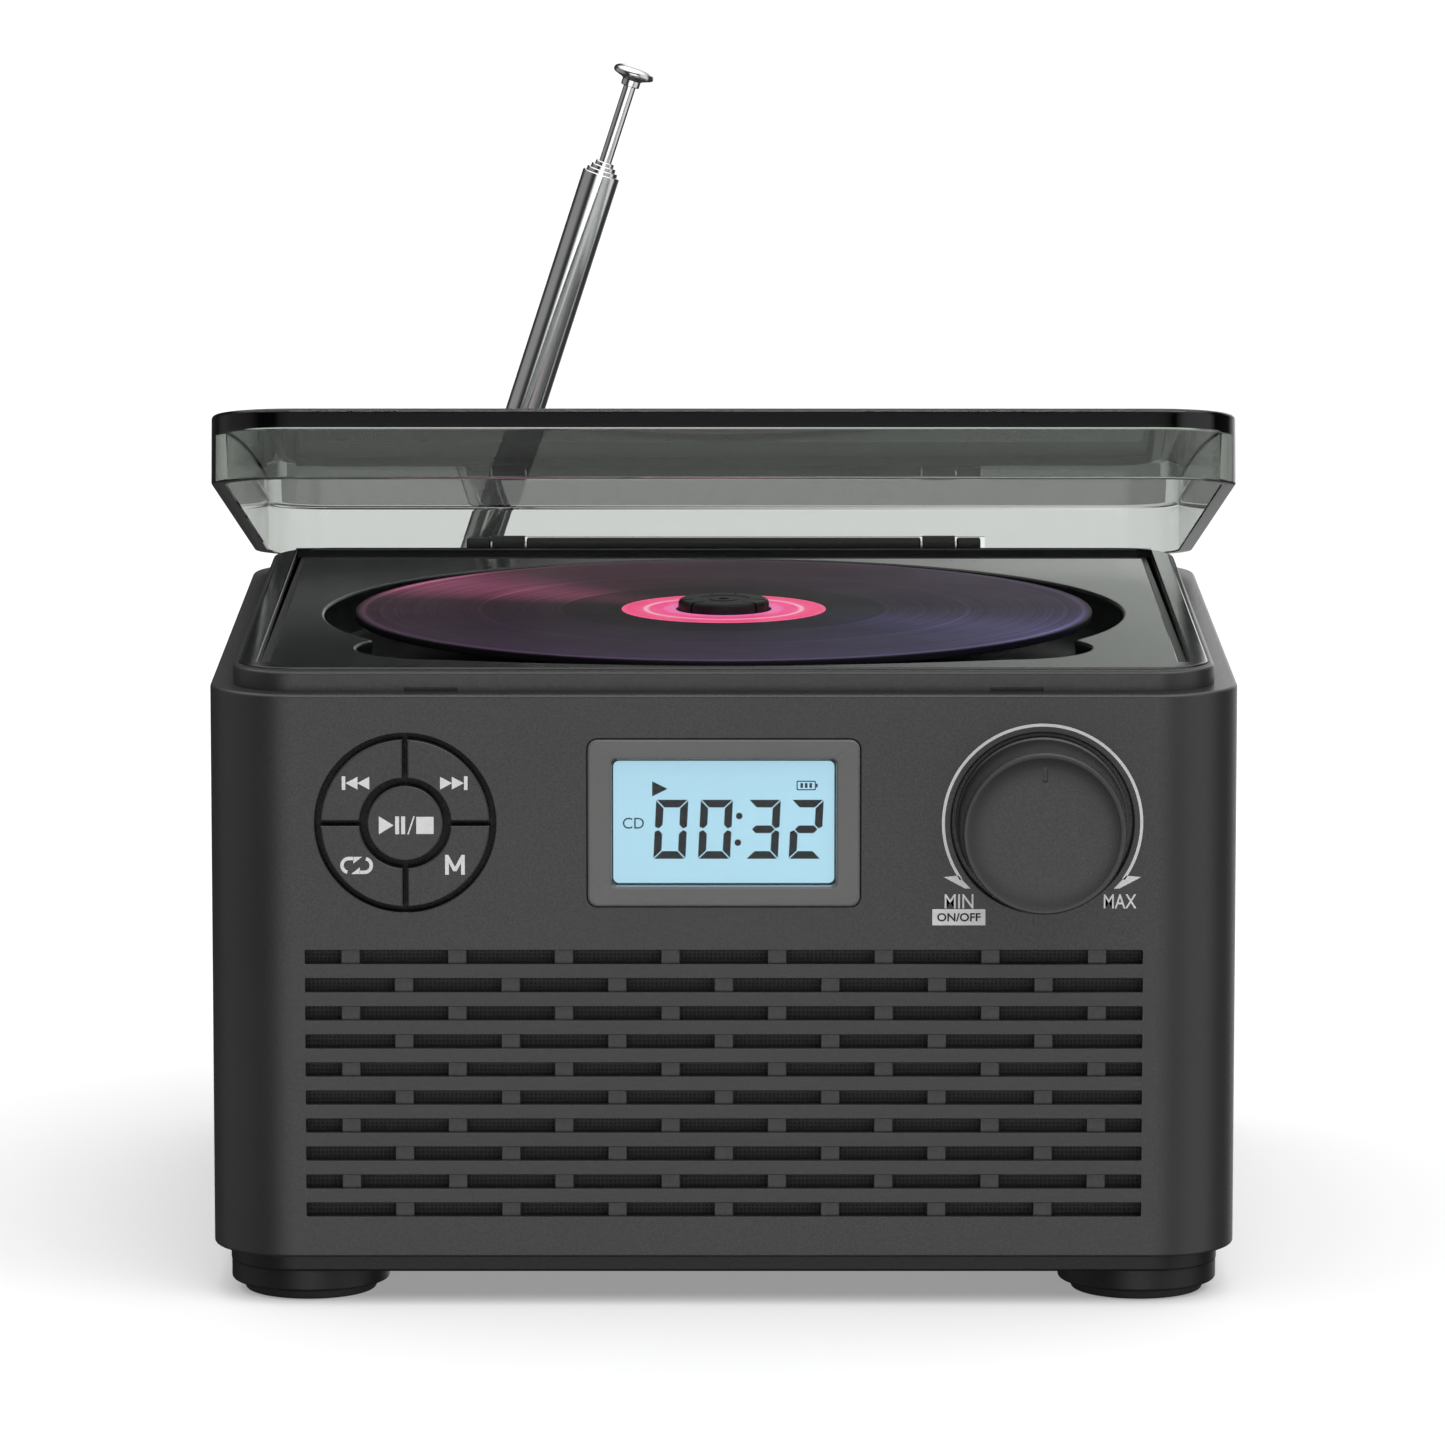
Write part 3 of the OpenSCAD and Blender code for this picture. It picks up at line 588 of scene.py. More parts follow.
def disc_label():
    """Pink label with lighter rings and a faint painted glow: it emits light in its print colour,
    though it is no lamp.
    """
    pink = (0.85, 0.05, 0.22)
    # Emission_Strength gives the label a painted glow that brightens it.
    material, tree, bsdf = shader("disc_label", pink, 0.35, Specular_IOR_Level=0.2,
                                  Emission_Strength=0.36)
    radius, _ = about_axis(tree)
    rings = ramp(tree, spread(tree, radius, 0, 1, 0.0074, 0.0167), [
        (0.0, (0.93, 0.20, 0.52)), (0.22, (0.93, 0.16, 0.42)), (0.30, (0.93, 0.05, 0.26)),
        (0.50, (0.93, 0.06, 0.28)), (0.57, (0.98, 0.55, 0.60)), (0.64, (0.93, 0.08, 0.28)),
        (0.88, (0.93, 0.045, 0.20)), (0.96, (0.95, 0.10, 0.26))])
    cloud = spread(tree, noise(tree, 160, 2), 0, 0.12)
    print_and_glow_color = blend(tree, cloud, rings, (0.98, 0.40, 0.55))
    gloss = spread(tree, noise(tree, 700), 0.3, 0.45)
    # The print colour is also the colour of the painted glow.
    dress(tree, bsdf, Base_Color=print_and_glow_color, Emission_Color=print_and_glow_color, Roughness=gloss)
    return material


def woven():
    """Black speaker cloth with crossing threads."""
    dark, light = (0.012, 0.012, 0.012), (0.045, 0.045, 0.045)
    material, tree, bsdf = shader("cloth_black", dark, 0.9)
    threads = []
    for direction in ("X", "Z"):
        wave = node(tree, "TexWave", Vector=own_space(tree), Scale=480.0, Distortion=0.4,
                    bands_direction=direction)
        threads.append(wave.outputs["Fac"])
    weave = calc(tree, "MAXIMUM", *threads)
    dress(tree, bsdf, Base_Color=blend(tree, weave, dark, light))
    bump(tree, bsdf, weave, 0.00005)
    return material


def circuit_board():
    """Green board with a pattern of tracks."""
    material, tree, bsdf = shader("circuit_board", (0.012, 0.09, 0.035), 0.3)
    cells = node(tree, "TexVoronoi", Vector=own_space(tree), Scale=420.0, distance="CHEBYCHEV")
    tracks = cells.outputs["Distance"]
    lines = spread(tree, tracks, 0, 1, 0.2, 0.5)
    dress(tree, bsdf, Base_Color=blend(tree, lines, (0.01, 0.07, 0.03), (0.02, 0.14, 0.06)))
    bump(tree, bsdf, tracks, 0.00002)
    return material


def print_ink(name, color):
    """Pad-printed ink with a slightly uneven coat."""
    material, tree, bsdf = shader(name, color, 0.6, Specular_IOR_Level=0.15)
    cloud = noise(tree, 900, 2)
    coat = blend(tree, spread(tree, cloud, 0, 1), scaled(color, 0.9), color)
    dress(tree, bsdf, Base_Color=coat)
    bump(tree, bsdf, cloud, 0.000004)
    return material


CASE = moulded("shell_plastic", (0.016, 0.016, 0.016), 0.38)
BASE = moulded("base_plastic", (0.008, 0.008, 0.008), 0.42, Specular_IOR_Level=0.3)
KEY = moulded("button_plastic", (0.016, 0.016, 0.016), 0.38)
DIAL = moulded("knob_plastic", (0.018, 0.018, 0.018), 0.38)
GREY = moulded("bezel_paint", (0.085, 0.085, 0.084), 0.42, mottle=0.04)
BLACK = moulded("black_plastic", (0.007, 0.007, 0.007), 0.45, Specular_IOR_Level=0.25)
HUB = moulded("hub_plastic", (0.006, 0.006, 0.006), 0.4, Specular_IOR_Level=0.25)
RUBBER = moulded("foot_rubber", (0.012, 0.012, 0.012), 0.75, grain=1800, depth=0.00002)
GLOSS = polished("deck_gloss", (0.008, 0.008, 0.009), 0.12)
WELL = polished("well_gloss", (0.010, 0.011, 0.011), 0.22)
SMOKED = smoked_plastic()
CLEAR = window_plastic()
CHROME = metal("antenna_chrome", (0.68, 0.68, 0.69), 0.05, stretch=(40, 40, 1))
STEEL = metal("pin_steel", (0.55, 0.55, 0.56), 0.28)
ZINC = metal("screw_steel", (0.5, 0.5, 0.48), 0.35)
DARK_STEEL = metal("basket_steel", (0.1, 0.1, 0.1), 0.45)
CAST = metal("sled_metal", (0.4, 0.4, 0.42), 0.5, brush=600, depth=0.00002)
BRASS = metal("screw_brass", (0.75, 0.58, 0.32), 0.25)
WHITE_INK = print_ink("print_white", (0.60, 0.60, 0.60))
DARK_INK = print_ink("print_dark", (0.008, 0.010, 0.012))
TEAL_INK = print_ink("print_teal", (0.02, 0.05, 0.07))
EDGE_INK = print_ink("print_edge", (0.02, 0.035, 0.045))
BOARD = circuit_board()
CLOTH = woven()
CONE = moulded("cone_paper", (0.02, 0.02, 0.02), 0.8, grain=900, depth=0.00004)
WRAP = polished("cell_wrap", (0.03, 0.10, 0.33), 0.25)
LENS = window_plastic()


# ---------------------------------------------------------------- the case

def case_shell():
    """The shell: one closed wall, as rings of (inset, height), with its front and rear openings."""
    bm = bmesh.new()
    n = 12
    width, depth = 2 * HALF_W, REAR - FRONT
    low, high, under = CASE_BOTTOM, LEDGE, LEDGE - TOP_WALL
    foot_r, top_r, ledge_w = 0.5, 0.6, 6
    bottom = [(f, low + foot_r - math.sqrt(foot_r ** 2 - (foot_r - f) ** 2))
              for f in (foot_r, 0.3, 0.14, 0.04, 0)]
    top = [(f, high - top_r + math.sqrt(top_r ** 2 - (top_r - f) ** 2))
           for f in (0, 0.05, 0.18, 0.36, top_r)]
    profile = [(WALL, low)] + bottom + top + [(ledge_w, high), (ledge_w, under), (WALL, under)]
    outer = len(bottom)
    inner = len(profile) - 1
    rings = []
    for inset, z in profile:
        shape = rounded(width - 2 * inset, depth - 2 * inset, CORNER - inset, n=n)
        rings.append(add_ring(bm, [(x, y, z) for x, y in shape]))
    front, rear = 3 * n + 2, n
    for i, ring in enumerate(rings):
        above = rings[(i + 1) % len(rings)]
        bridge(bm, ring, above, skip=(front, rear) if i in (outer, inner) else ())

    def panel(i, side):
        a, b = rings[i], rings[(i + 1) % len(rings)]
        return [a[side], a[side + 1], b[side + 1], b[side]]

    face = on_front(FRONT)
    first, last = [panel(outer, front)], [panel(inner, front)]

    def opening(outline, levels):
        made = stack(bm, outline, levels, face)
        first.append(made[0])
        return made[-1]

    through = fillet(0.25) + [(0, WALL)]
    last.append(opening(framed(BEZEL[0] + 0.1, BEZEL[1] + 0.1, 1.6, 0, CONTROL_Z), through))
    last.append(opening(lambda g: circle(KEY_HOLE + g, KEYS_X, CONTROL_Z), through))
    floor = opening(lambda g: circle(RECESS + g, KNOB.x, CONTROL_Z), fillet(0.35) + [(0, 1.4)])
    shaft = stack(bm, lambda g: circle(3.6, KNOB.x, CONTROL_Z), [(0, 1.4), (0, WALL)], face)
    fill(bm, floor, shaft[0])
    last.append(shaft[-1])
    for row in range(ROWS):
        z = SLOT_TOP - row * SLOT_PITCH
        last.append(opening(framed(GRILLE_W, SLOT_H, 0.2, 0, z, 4), fillet(0.12) + [(0, WALL)]))
    fill(bm, *first)
    fill(bm, *last)
    rear_openings(bm, panel(outer, rear), panel(inner, rear))
    for row in range(ROWS):
        grille_ribs(bm, row)
    cradle(bm)
    make("shell", "body", bm, CASE, ["main_shell"])


def rear_openings(bm, outside, inside):
    """The socket plate's pocket and the hole for the antenna's foot."""
    low, high = node_box("rear_plate")
    w, h, z = high.x - low.x + 0.2, high.z - low.z + 0.2, (low.z + high.z) / 2
    face = on_rear(REAR)
    pocket = stack(bm, framed(w, h, 0.5, 0, z), fillet(0.2) + [(0, 1.6)], face)
    window = stack(bm, framed(52, 14, 0.5, 0, z), [(0, 1.6), (0, WALL)], face)
    fill(bm, pocket[-1], window[0])
    hole = stack(bm, lambda g: circle(4.4, MAST.x, MAST.z, 48), [(0, 0), (0, WALL)], face)
    fill(bm, outside, pocket[0], hole[0])
    fill(bm, inside, window[-1], hole[-1])


def grille_ribs(bm, row):
    """The upright ribs of one row of slots, set back behind the front."""
    z = SLOT_TOP - row * SLOT_PITCH
    shift = 0.5 if row % 2 == 0 else 0.0
    back, face = FRONT + WALL, FRONT + RIB_BACK
    half = [(RIB_HALF - 0.12, face), (RIB_HALF, face + 0.12), (RIB_HALF, back)]
    section = [(-a, b) for a, b in reversed(half)] + half
    for k in range(-4, 4):
        if abs(k + shift) < 3.6:
            shape = [((k + shift) * RIB_PITCH + a, b) for a, b in section]
            solid(bm, lambda g: shape, [(0, 0), (0, SLOT_H + 0.2)], on_top(z + SLOT_H / 2 + 0.1))


def cradle(bm):
    """The shelf at the back that the folded antenna lies in."""
    lip, root = CASE_HIGH.y, REAR - 0.5
    low, high, thick = MAST.z - 5.5, MAST.z - 2, 2
    shape = [(root, low), (lip, low), (lip, high), (lip - 0.8, high), (lip - 0.8, low + thick),
             (root, low + thick)]
    prism(bm, shape, 7, across(20), 0.25)


def base():
    """The bottom cover with its four foot bosses."""
    bm = bmesh.new()
    low, high = node_box("bottom_cover")
    bottom = 5.0
    w, d = high.x - low.x, high.y - low.y
    levels = [(0, 0)] + [(g, high.z - bottom - t) for g, t in reversed(edge(0.5))]
    solid(bm, framed(w, d, CORNER - 2.6), levels, on_top(high.z))
    boss = [(3.3, bottom + 0.2), (12.5, bottom + 0.2)]
    boss += rim(12.0, low.z + 0.5, 0.5, 0, -90) + [(3.3, low.z)]
    for place in AT_FEET:
        lathe(bm, boss, place, closed=True)
    make("base_cover", "body", bm, BASE, ["bottom_cover"])


def feet():
    """Four rubber rings, open in the middle for the base screws."""
    bm = bmesh.new()
    pad = rim(10.0, 0.4, 0.4, -90, 0) + [(10.4, 1.6), (3.3, 1.6)] + rim(3.6, 0.3, 0.3, 180, 270, 3)
    for place in AT_FEET:
        lathe(bm, pad, place, closed=True)
    make("foot_pads", "body", bm, RUBBER, ["rubber_feet"])


def plinth():
    """The raised frame round the deck, with its rounded top edge and two latch notches."""
    bm = bmesh.new()
    low, high = FRAME_LOW, FRAME_HIGH
    w, d, cy = high.x - low.x, high.y - low.y, (low.y + high.y) / 2
    r = CORNER - PLINTH_INSET
    thick, deep = high.z - low.z, high.z - DECK_LOW.z
    top = on_top(high.z)
    outside = stack(bm, framed(w, d, r, 0, cy), edge(0.55, 5) + [(0, thick)], top)
    front_y, rear_y = DECK_LOW.y - 0.7, DECK_HIGH.y + 0.05
    seat = framed(w - 1.7, rear_y - front_y, r - 0.9, 0, (front_y + rear_y) / 2)
    pocket = stack(bm, seat, [(0, 0), (0, deep)], top)
    hole = stack(bm, lambda g: well(1), [(0, deep), (0, thick)], top)
    fill(bm, outside[0], pocket[0])
    fill(bm, pocket[-1], hole[0])
    fill(bm, outside[-1], hole[-1])
    notches = []
    for x in (-LATCH_X, LATCH_X):
        notch = box_tool((x - 4.15, low.y - 1, low.z - 1), (x + 4.15, low.y + 0.8, low.z + 0.65))
        notches.append(cutter(notch))
    make("deck_frame", "body", bm, CASE, ["top_frame"], cutters=notches)


def groove_outline():
    """The two side grooves and the trough behind the well, as one outline, anticlockwise."""
    inner, outer = 71.3, 73.1
    start, trough, end = FRONT + 13.2, REAR - 20, REAR - 6.6
    return [(-outer, start), (-inner, start), (-inner, trough), (inner, trough),
            (inner, start), (outer, start), (outer, end), (-outer, end)]


def deck():
    """The glossy deck plate with the well's opening, the grooves and the trough."""
    bm = bmesh.new()
    low, high = DECK_LOW, DECK_HIGH
    w, d, cy = high.x - low.x, high.y - low.y, (low.y + high.y) / 2
    thick = high.z - low.z
    top = on_top(high.z)
    outside = stack(bm, framed(w, d, 9, 0, cy), edge(0.3) + [(0, thick)], top)
    opening = stack(bm, well, fillet(0.5, 5) + [(0, thick)], top)
    channel = stack(bm, lambda g: grown(groove_outline(), g), fillet(0.3) + [(0, thick)], top)
    fill(bm, outside[0], opening[0], channel[0])
    fill(bm, outside[-1], opening[-1], channel[-1])
    make("deck", "body", bm, GLOSS, ["deck_plate"])


def tray():
    """The well's wall and floor, with the hole for the hub and the slot for the lens."""
    bm = bmesh.new()
    floor_z = TRAY_LOW + 1.5
    top = DECK_LOW.z
    deep, thick = top - floor_z, top - TRAY_LOW
    wall = [(0.15, 0), (0.15, deep - 0.8), (-0.08, deep - 0.24), (-0.65, deep)]
    inside = stack(bm, well, wall, on_top(top))
    back = [(0.9, 0), (0.9, top - LEDGE), (2.2, top - LEDGE), (2.2, thick)]
    outside = stack(bm, well, back, on_top(top))
    hub_r, slot_half, slot_end = 15, 6.8, 55
    gap = math.degrees(math.asin(slot_half / hub_r))
    hole = arc(0, DISC_Y, hub_r, 90 + gap, 450 - gap, 60)
    hole += [(slot_half, slot_end), (-slot_half, slot_end)]
    slot = stack(bm, lambda g: hole, [(0, deep), (0, thick)], on_top(top))
    fill(bm, inside[0], outside[0])
    fill(bm, inside[-1], slot[0])
    fill(bm, outside[-1], slot[-1])
    seat, step, foot = TRAY_LOW + 0.1, 83, 77.5
    post = [(0, foot), (1.5, foot), (1.5, step), (2.6, step), (2.6, seat), (0, seat)]
    for x in (-36, 36):
        for y in (-30, 40):
            lathe(bm, post, Matrix.Translation((x, y, 0)), 32)
    make("well_tray", "body", bm, WELL, ["disc_tray"])


def round_bar(x, r, length, n=40):
    """A builder of a round bar on the hinge's axis."""
    place = Matrix.Translation((x, HINGE.y, HINGE.z)) @ Matrix.Rotation(math.pi / 2, 4, "Y")
    return lambda bm: lathe(bm, [(0, 0), (r, 0), (r, length), (0, length)], place, n)


def hinge_block():
    """The black bar behind the deck, with a barrel round the pin between the lid's lugs."""
    bm = bmesh.new()
    low, high = node_box("hinge_bar")
    half, slope, top = high.x, 1.2, high.z - 0.2
    shape = [(-half, LEDGE), (half, LEDGE), (half, top - slope), (half - slope, top),
             (slope - half, top), (-half, top - slope)]
    prism(bm, shape, HINGE.y - low.y, on_front(low.y), 0.25)
    near, far = LUG_X[0] - 0.3, LUG_X[1] + 0.3
    turn = Matrix.Rotation(math.pi / 2, 4, "Y")
    for x0, x1 in [(-half, -far), (-near, near), (far, half)]:
        length, r, end_r, slant = x1 - x0, 1.5, 1.25, 0.25
        barrel = [(0, 0), (end_r, 0), (r, slant), (r, length - slant), (end_r, length), (0, length)]
        lathe(bm, barrel, Matrix.Translation((x0, HINGE.y, HINGE.z)) @ turn, 40)
    cuts = [cutter(round_bar(x, 2.2, far - near)) for x in (-far, near)]
    make("hinge_block", "body", bm, BLACK, ["hinge_bar"], cutters=cuts)


def lug_outline(top):
    """Side view of a hinge lug: a round eye under a block inside the rear skirt."""
    y, z, rear = HINGE.y, HINGE.z, LID_D / 2 - LID_FLAP + 0.05
    eye = arc(y, z, 1.8, 95, 355, 28)
    return eye + [(rear, z), (rear, top), (y + 0.2, top)]


def lid_lugs():
    """The two dark lugs that carry the lid on its pin."""
    bm = bmesh.new()
    outline = lug_outline(LID_NOTCH + 0.05)
    starts = (-LUG_X[1], LUG_X[0])
    for x in starts:
        solid(bm, lambda g: outline, [(0, 0), (0, LUG_X[1] - LUG_X[0])], across(x))
    bores = [cutter(round_bar(x - 1, 0.86, 8, 32), LID_SWING) for x in starts]
    make("lid_lugs", "lid", bm, BLACK, cutters=bores, place=LID_SWING)


def lid():
    """The smoked lid, drawn closed and turned to the angle at which it stands."""
    bm = bmesh.new()
    deep = LID_HIGH - LID_LOW
    top = on_top(LID_HIGH)
    outline = framed(LID_W, LID_D, LID_R, n=20)
    foot = [(g, deep - d) for g, d in reversed(edge(0.3, 3))]
    outside = stack(bm, outline, edge(0.7, 6) + foot, top)
    cove = [(0.6, 0), (0.3, 0.08), (0.08, 0.3), (0, 0.6)]
    hollow = [(-LID_WALL - g, LID_TOP + d) for g, d in cove]
    hollow += [(-LID_WALL, deep - 0.2), (-LID_WALL + 0.2, deep)]
    inside = stack(bm, outline, hollow, top)
    fill(bm, outside[0])
    fill(bm, inside[0])
    fill(bm, outside[-1], inside[-1])
    notch, start, flap_z = 45.0, REAR - 3.2, HINGE.z - 0.3
    below = box_tool((-notch, start, LID_LOW - 1), (notch, REAR + 1, flap_z))
    within = box_tool((-notch, start, LID_LOW - 2), (notch, LID_D / 2 - LID_FLAP, LID_NOTCH))
    cuts = [cutter(tool, LID_SWING) for tool in (below, within)]
    make("lid_cover", "lid", bm, SMOKED, ["lid"], 24, cuts, LID_SWING)


# ---------------------------------------------------------------- disc and drive

def disc():
    """The disc: clear rim and inner ring, printed face and pink label."""
    low, high = DISC_LOW.z, DISC_HIGH.z
    bm = bmesh.new()
    r, edge_r = 59.75, 0.25
    profile = rim(r, low + edge_r, edge_r, -90, 0, 3) + rim(r, high - edge_r, edge_r, 0, 90, 3)
    profile += [(16.8, high), (16.7, high - 0.04), (7.7, high - 0.04), (7.5, high - 0.24)]
    profile += [(7.5, low + 0.2), (7.7, low), (17, low)]
    lathe(bm, profile, AT_DISC, 256, closed=True)
    make("disc_body", "disc", bm, disc_face(), ["disc"])
    bm = bmesh.new()
    label = [(7.8, high - 0.03), (16.65, high - 0.03), (16.6, high + 0.02), (7.85, high + 0.02)]
    lathe(bm, label, AT_DISC, 160, closed=True)
    make("disc_label", "disc", bm, disc_label())


def hub():
    """The turntable and its hub with three catches."""
    bm = bmesh.new()
    low, high = node_box("turntable")
    seat = DISC_LOW.z
    motor, plate, top, r = 93, 97.8, high.z, 14
    profile = [(0, low.z), (1, low.z), (1, motor), (5, motor), (5, plate), (r - 0.3, plate)]
    profile += [(r, plate + 0.3), (r, seat - 0.3), (r - 0.2, seat), (7.5, seat), (7.42, seat + 0.1)]
    profile += [(7.42, top - 0.9)] + rim(6.7, top - 0.7, 0.7, 0, 90)
    profile += [(4.3, top), (4.15, top - 0.12), (2.4, top - 0.12), (2.3, top), (0.95, top)]
    profile += [(0.85, top - 0.1), (0.85, top - 2), (0, top - 2)]
    lathe(bm, profile, AT_DISC, 96)
    cuts = []
    for turn in (90, 210, 330):
        spin = AT_DISC @ Matrix.Rotation(math.radians(turn), 4, "Z")
        for side in (-1.9, 1.9):
            tool = box_tool((4.6, side - 0.2, seat + 0.6), (9, side + 0.2, top + 1))
            cuts.append(cutter(tool, spin))
    make("hub", "spindle", bm, HUB, ["turntable"], cutters=cuts)


# ---------------------------------------------------------------- front controls

def key_outline(sx, sz):
    """A quarter of the ring of keys, anticlockwise."""
    inner, outer, gap = 7.05, 13.2, 0.335
    a = math.degrees(math.asin(gap / outer))
    b = math.degrees(math.asin(gap / inner))
    points = arc(0, 0, outer, a, 90 - a, 24) + arc(0, 0, inner, 90 - b, b, 16)
    placed = [(KEYS_X + sx * x, CONTROL_Z + sz * z) for x, z in points]
    return placed if sx * sz > 0 else placed[::-1]


def key(body, outline):
    """One key: a plate with rounded edges on a short stem."""
    low, high = node_box("button_" + body)
    bm = bmesh.new()
    thick = 2.3
    back = [(0, thick - 0.01), (-0.1, thick)]
    solid(bm, lambda g: grown(outline, g), edge(0.32) + back, on_front(low.y))
    cx = sum(p[0] for p in outline) / len(outline)
    cz = sum(p[1] for p in outline) / len(outline)
    start, length = low.y + thick - 0.1, high.y - low.y - thick + 0.1
    stem = Matrix.Translation((cx, start, cz)) @ Matrix.Rotation(-math.pi / 2, 4, "X")
    lathe(bm, [(0, 0), (1.4, 0), (1.4, length), (0, length)], stem, 32)
    make("key_" + body, body, bm, KEY, ["button_" + body])


def keys():
    """Four keys round the play key."""
    sides = {"previous": (-1, 1), "next": (1, 1), "repeat": (-1, -1), "mode": (1, -1)}
    for body, side in sides.items():
        key(body, key_outline(*side))
    key("play", circle(5.95, KEYS_X, CONTROL_Z, 72))


def knob():
    """The volume knob: tapered side, narrow rim, dished face and pointer slot."""
    low, high = node_box("volume_knob")
    face, back = low.y, high.y
    bm = bmesh.new()
    side = [(0, back), (13.3, back), (13.5, back - 0.2), (13.45, back - 0.9), (13.15, back - 1.1)]
    lip = [(12.75, face + 1.0), (12.66, face + 0.35), (12.58, face + 0.1), (12.4, face), (11.9, face)]
    dish = [(11.75, face + 0.06), (11.3, face + 0.2), (10.6, face + 0.38), (9.7, face + 0.52)]
    dish += [(8.5, face + 0.62), (7.0, face + 0.68), (0, face + 0.7)]
    place = Matrix.Translation((KNOB.x, 0, CONTROL_Z)) @ Matrix.Rotation(-math.pi / 2, 4, "X")
    lathe(bm, side + lip + dish, place, 160)

    def pointer(tool):
        shape = rounded(0.85, 2.5, 0.42, KNOB.x, CONTROL_Z + 9.2, 6)
        solid(tool, lambda g: shape, [(0, 0), (0, 2.2)], on_front(face - 1))

    make("knob", "knob", bm, DIAL, ["volume_knob"], cutters=[cutter(pointer)])


def display():
    """Bezel, window and the lit display with its digits."""
    low, high = node_box("lcd_bezel")
    bm = bmesh.new()
    face = on_front(low.y)
    deep = high.y - low.y
    outside = stack(bm, framed(*BEZEL, 1.55, 0, CONTROL_Z), edge(0.4) + [(0, deep)], face)
    inside = stack(bm, framed(*WINDOW, 0.8, 0, CONTROL_Z), fillet(0.3) + [(0, deep)], face)
    fill(bm, outside[0], inside[0])
    fill(bm, outside[-1], inside[-1])
    make("bezel", "body", bm, GREY, ["lcd_bezel"])

    front, back = node_box("lcd_window")[0].y, node_box("lcd_window")[1].y
    bm = bmesh.new()
    pane = framed(WINDOW[0] - 0.1, WINDOW[1] - 0.1, 0.75, 0, CONTROL_Z)
    solid(bm, pane, edge(0.1, 2) + [(0, back - front)], on_front(front))
    make("window", "body", bm, CLEAR, ["lcd_window"])

    glass = back + 0.08
    bm = bmesh.new()
    plate = framed(WINDOW[0] - 0.2, WINDOW[1] - 0.2, 0.7, 0, CONTROL_Z)
    solid(bm, plate, [(0, 0), (0, 2)], on_front(glass))
    make("display_glass", "body", bm, lit_display(), ["lcd_panel"])
    bm = bmesh.new()
    border = framed(WINDOW[0] - 0.25, WINDOW[1] - 0.2, 0.7, 0, CONTROL_Z)
    lit = framed(*LIT, 0.9, 0, CONTROL_Z)
    tube(bm, border, lit, (PRINT, PRINT), on_front(glass - 0.04))
    make("display_edge", "body", bm, EDGE_INK)
    digits(glass - 0.04)


def segment_shapes(w, h, t, gap=0.13):
    """The seven bars of a digit about its middle, with mitred ends and a gap between bars."""
    x, z, in_x, in_z, mid = w / 2, h / 2, w / 2 - t, h / 2 - t, w / 2 - t / 2
    top = [(gap - x, z), (gap - in_x, in_z), (in_x - gap, in_z), (x - gap, z)]
    side = [(x, z - gap), (in_x, in_z - gap), (in_x, t / 2 + gap), (mid, gap), (x, gap + t / 4)]
    middle = [(gap - mid, 0), (gap - in_x, -t / 2), (in_x - gap, -t / 2), (mid - gap, 0),
              (in_x - gap, t / 2), (gap - in_x, t / 2)]

    def mirrored(shape, sx, sz):
        return [(sx * a, sz * b) for a, b in shape]

    return {"a": top, "b": side, "c": mirrored(side, 1, -1), "d": mirrored(top, 1, -1),
            "e": mirrored(side, -1, -1), "f": mirrored(side, -1, 1), "g": middle}


def flat(bm, points, place, thick=0.03):
    """A thin printed shape."""
    solid(bm, lambda g: points, [(0, 0), (0, thick)], place)


def digits(y):
    """The elapsed time 00:32, the play mark, the battery mark and the word CD."""
    place = on_front(y)
    slant = 0.05
    middle = CONTROL_Z - 1.16
    bars = segment_shapes(5.0, 9.3, 1.2)
    bm = bmesh.new()
    for text, x in zip("0032", (-8.25, -1.3, 6.15, 12.83)):
        for name in SEGMENTS[text]:
            flat(bm, [(x + a + slant * b, middle + b) for a, b in bars[name]], place)
    for z in (-2.1, 2.1):
        flat(bm, circle(0.52, 2.3 + slant * z, middle + z, 20), place)
    play_z = CONTROL_Z + 5.22
    flat(bm, [(-11.15, play_z - 1.2), (-8.75, play_z), (-11.15, play_z + 1.2)], place)
    x, z = 12.83, CONTROL_Z + 5.75
    tube(bm, framed(3.0, 1.5, 0.2, x, z, 3), framed(2.66, 1.16, 0.1, x, z, 3), (PRINT, PRINT), place)
    flat(bm, rounded(0.25, 0.6, 0.05, x + 1.65, z, 2), place)
    for k in (-0.7, 0, 0.7):
        flat(bm, rounded(0.4, 0.75, 0.05, x + k, z, 2), place)
    make("display_digits", "body", bm, DARK_INK)
    words("display_word", "CD", (-14.08, CONTROL_Z - 0.2), (3.3, 1.75), y, TEAL_INK)


def words(name, text, middle, size, y, ink, bold=0.0):
    """Generic lettering, fitted to a middle and a size, as a thin print on the front."""
    curve = bpy.data.curves.new(name, "FONT")
    curve.body = text
    curve.offset = bold
    curve.resolution_u = 4
    holder = bpy.data.objects.new(name + "_curve", curve)
    bpy.context.scene.collection.objects.link(holder)
    bpy.context.view_layer.update()
    shape = bpy.data.meshes.new_from_object(holder.evaluated_get(bpy.context.evaluated_depsgraph_get()))
    bpy.data.objects.remove(holder)
    bm = bmesh.new()
    bm.from_mesh(shape)
    bpy.data.meshes.remove(shape)
    xs = [v.co.x for v in bm.verts]
    ys = [v.co.y for v in bm.verts]
    for v in bm.verts:
        a = (v.co.x - min(xs)) / (max(xs) - min(xs)) - 0.5
        b = (v.co.y - min(ys)) / (max(ys) - min(ys)) - 0.5
        v.co = Vector((middle[0] + a * size[0], y + 0.03, middle[1] + b * size[1]))
    made = bmesh.ops.extrude_face_region(bm, geom=bm.faces[:])
    top = [v for v in made["geom"] if isinstance(v, bmesh.types.BMVert)]
    bmesh.ops.translate(bm, vec=(0, -0.03, 0), verts=top)
    make(name, "body", bm, ink)


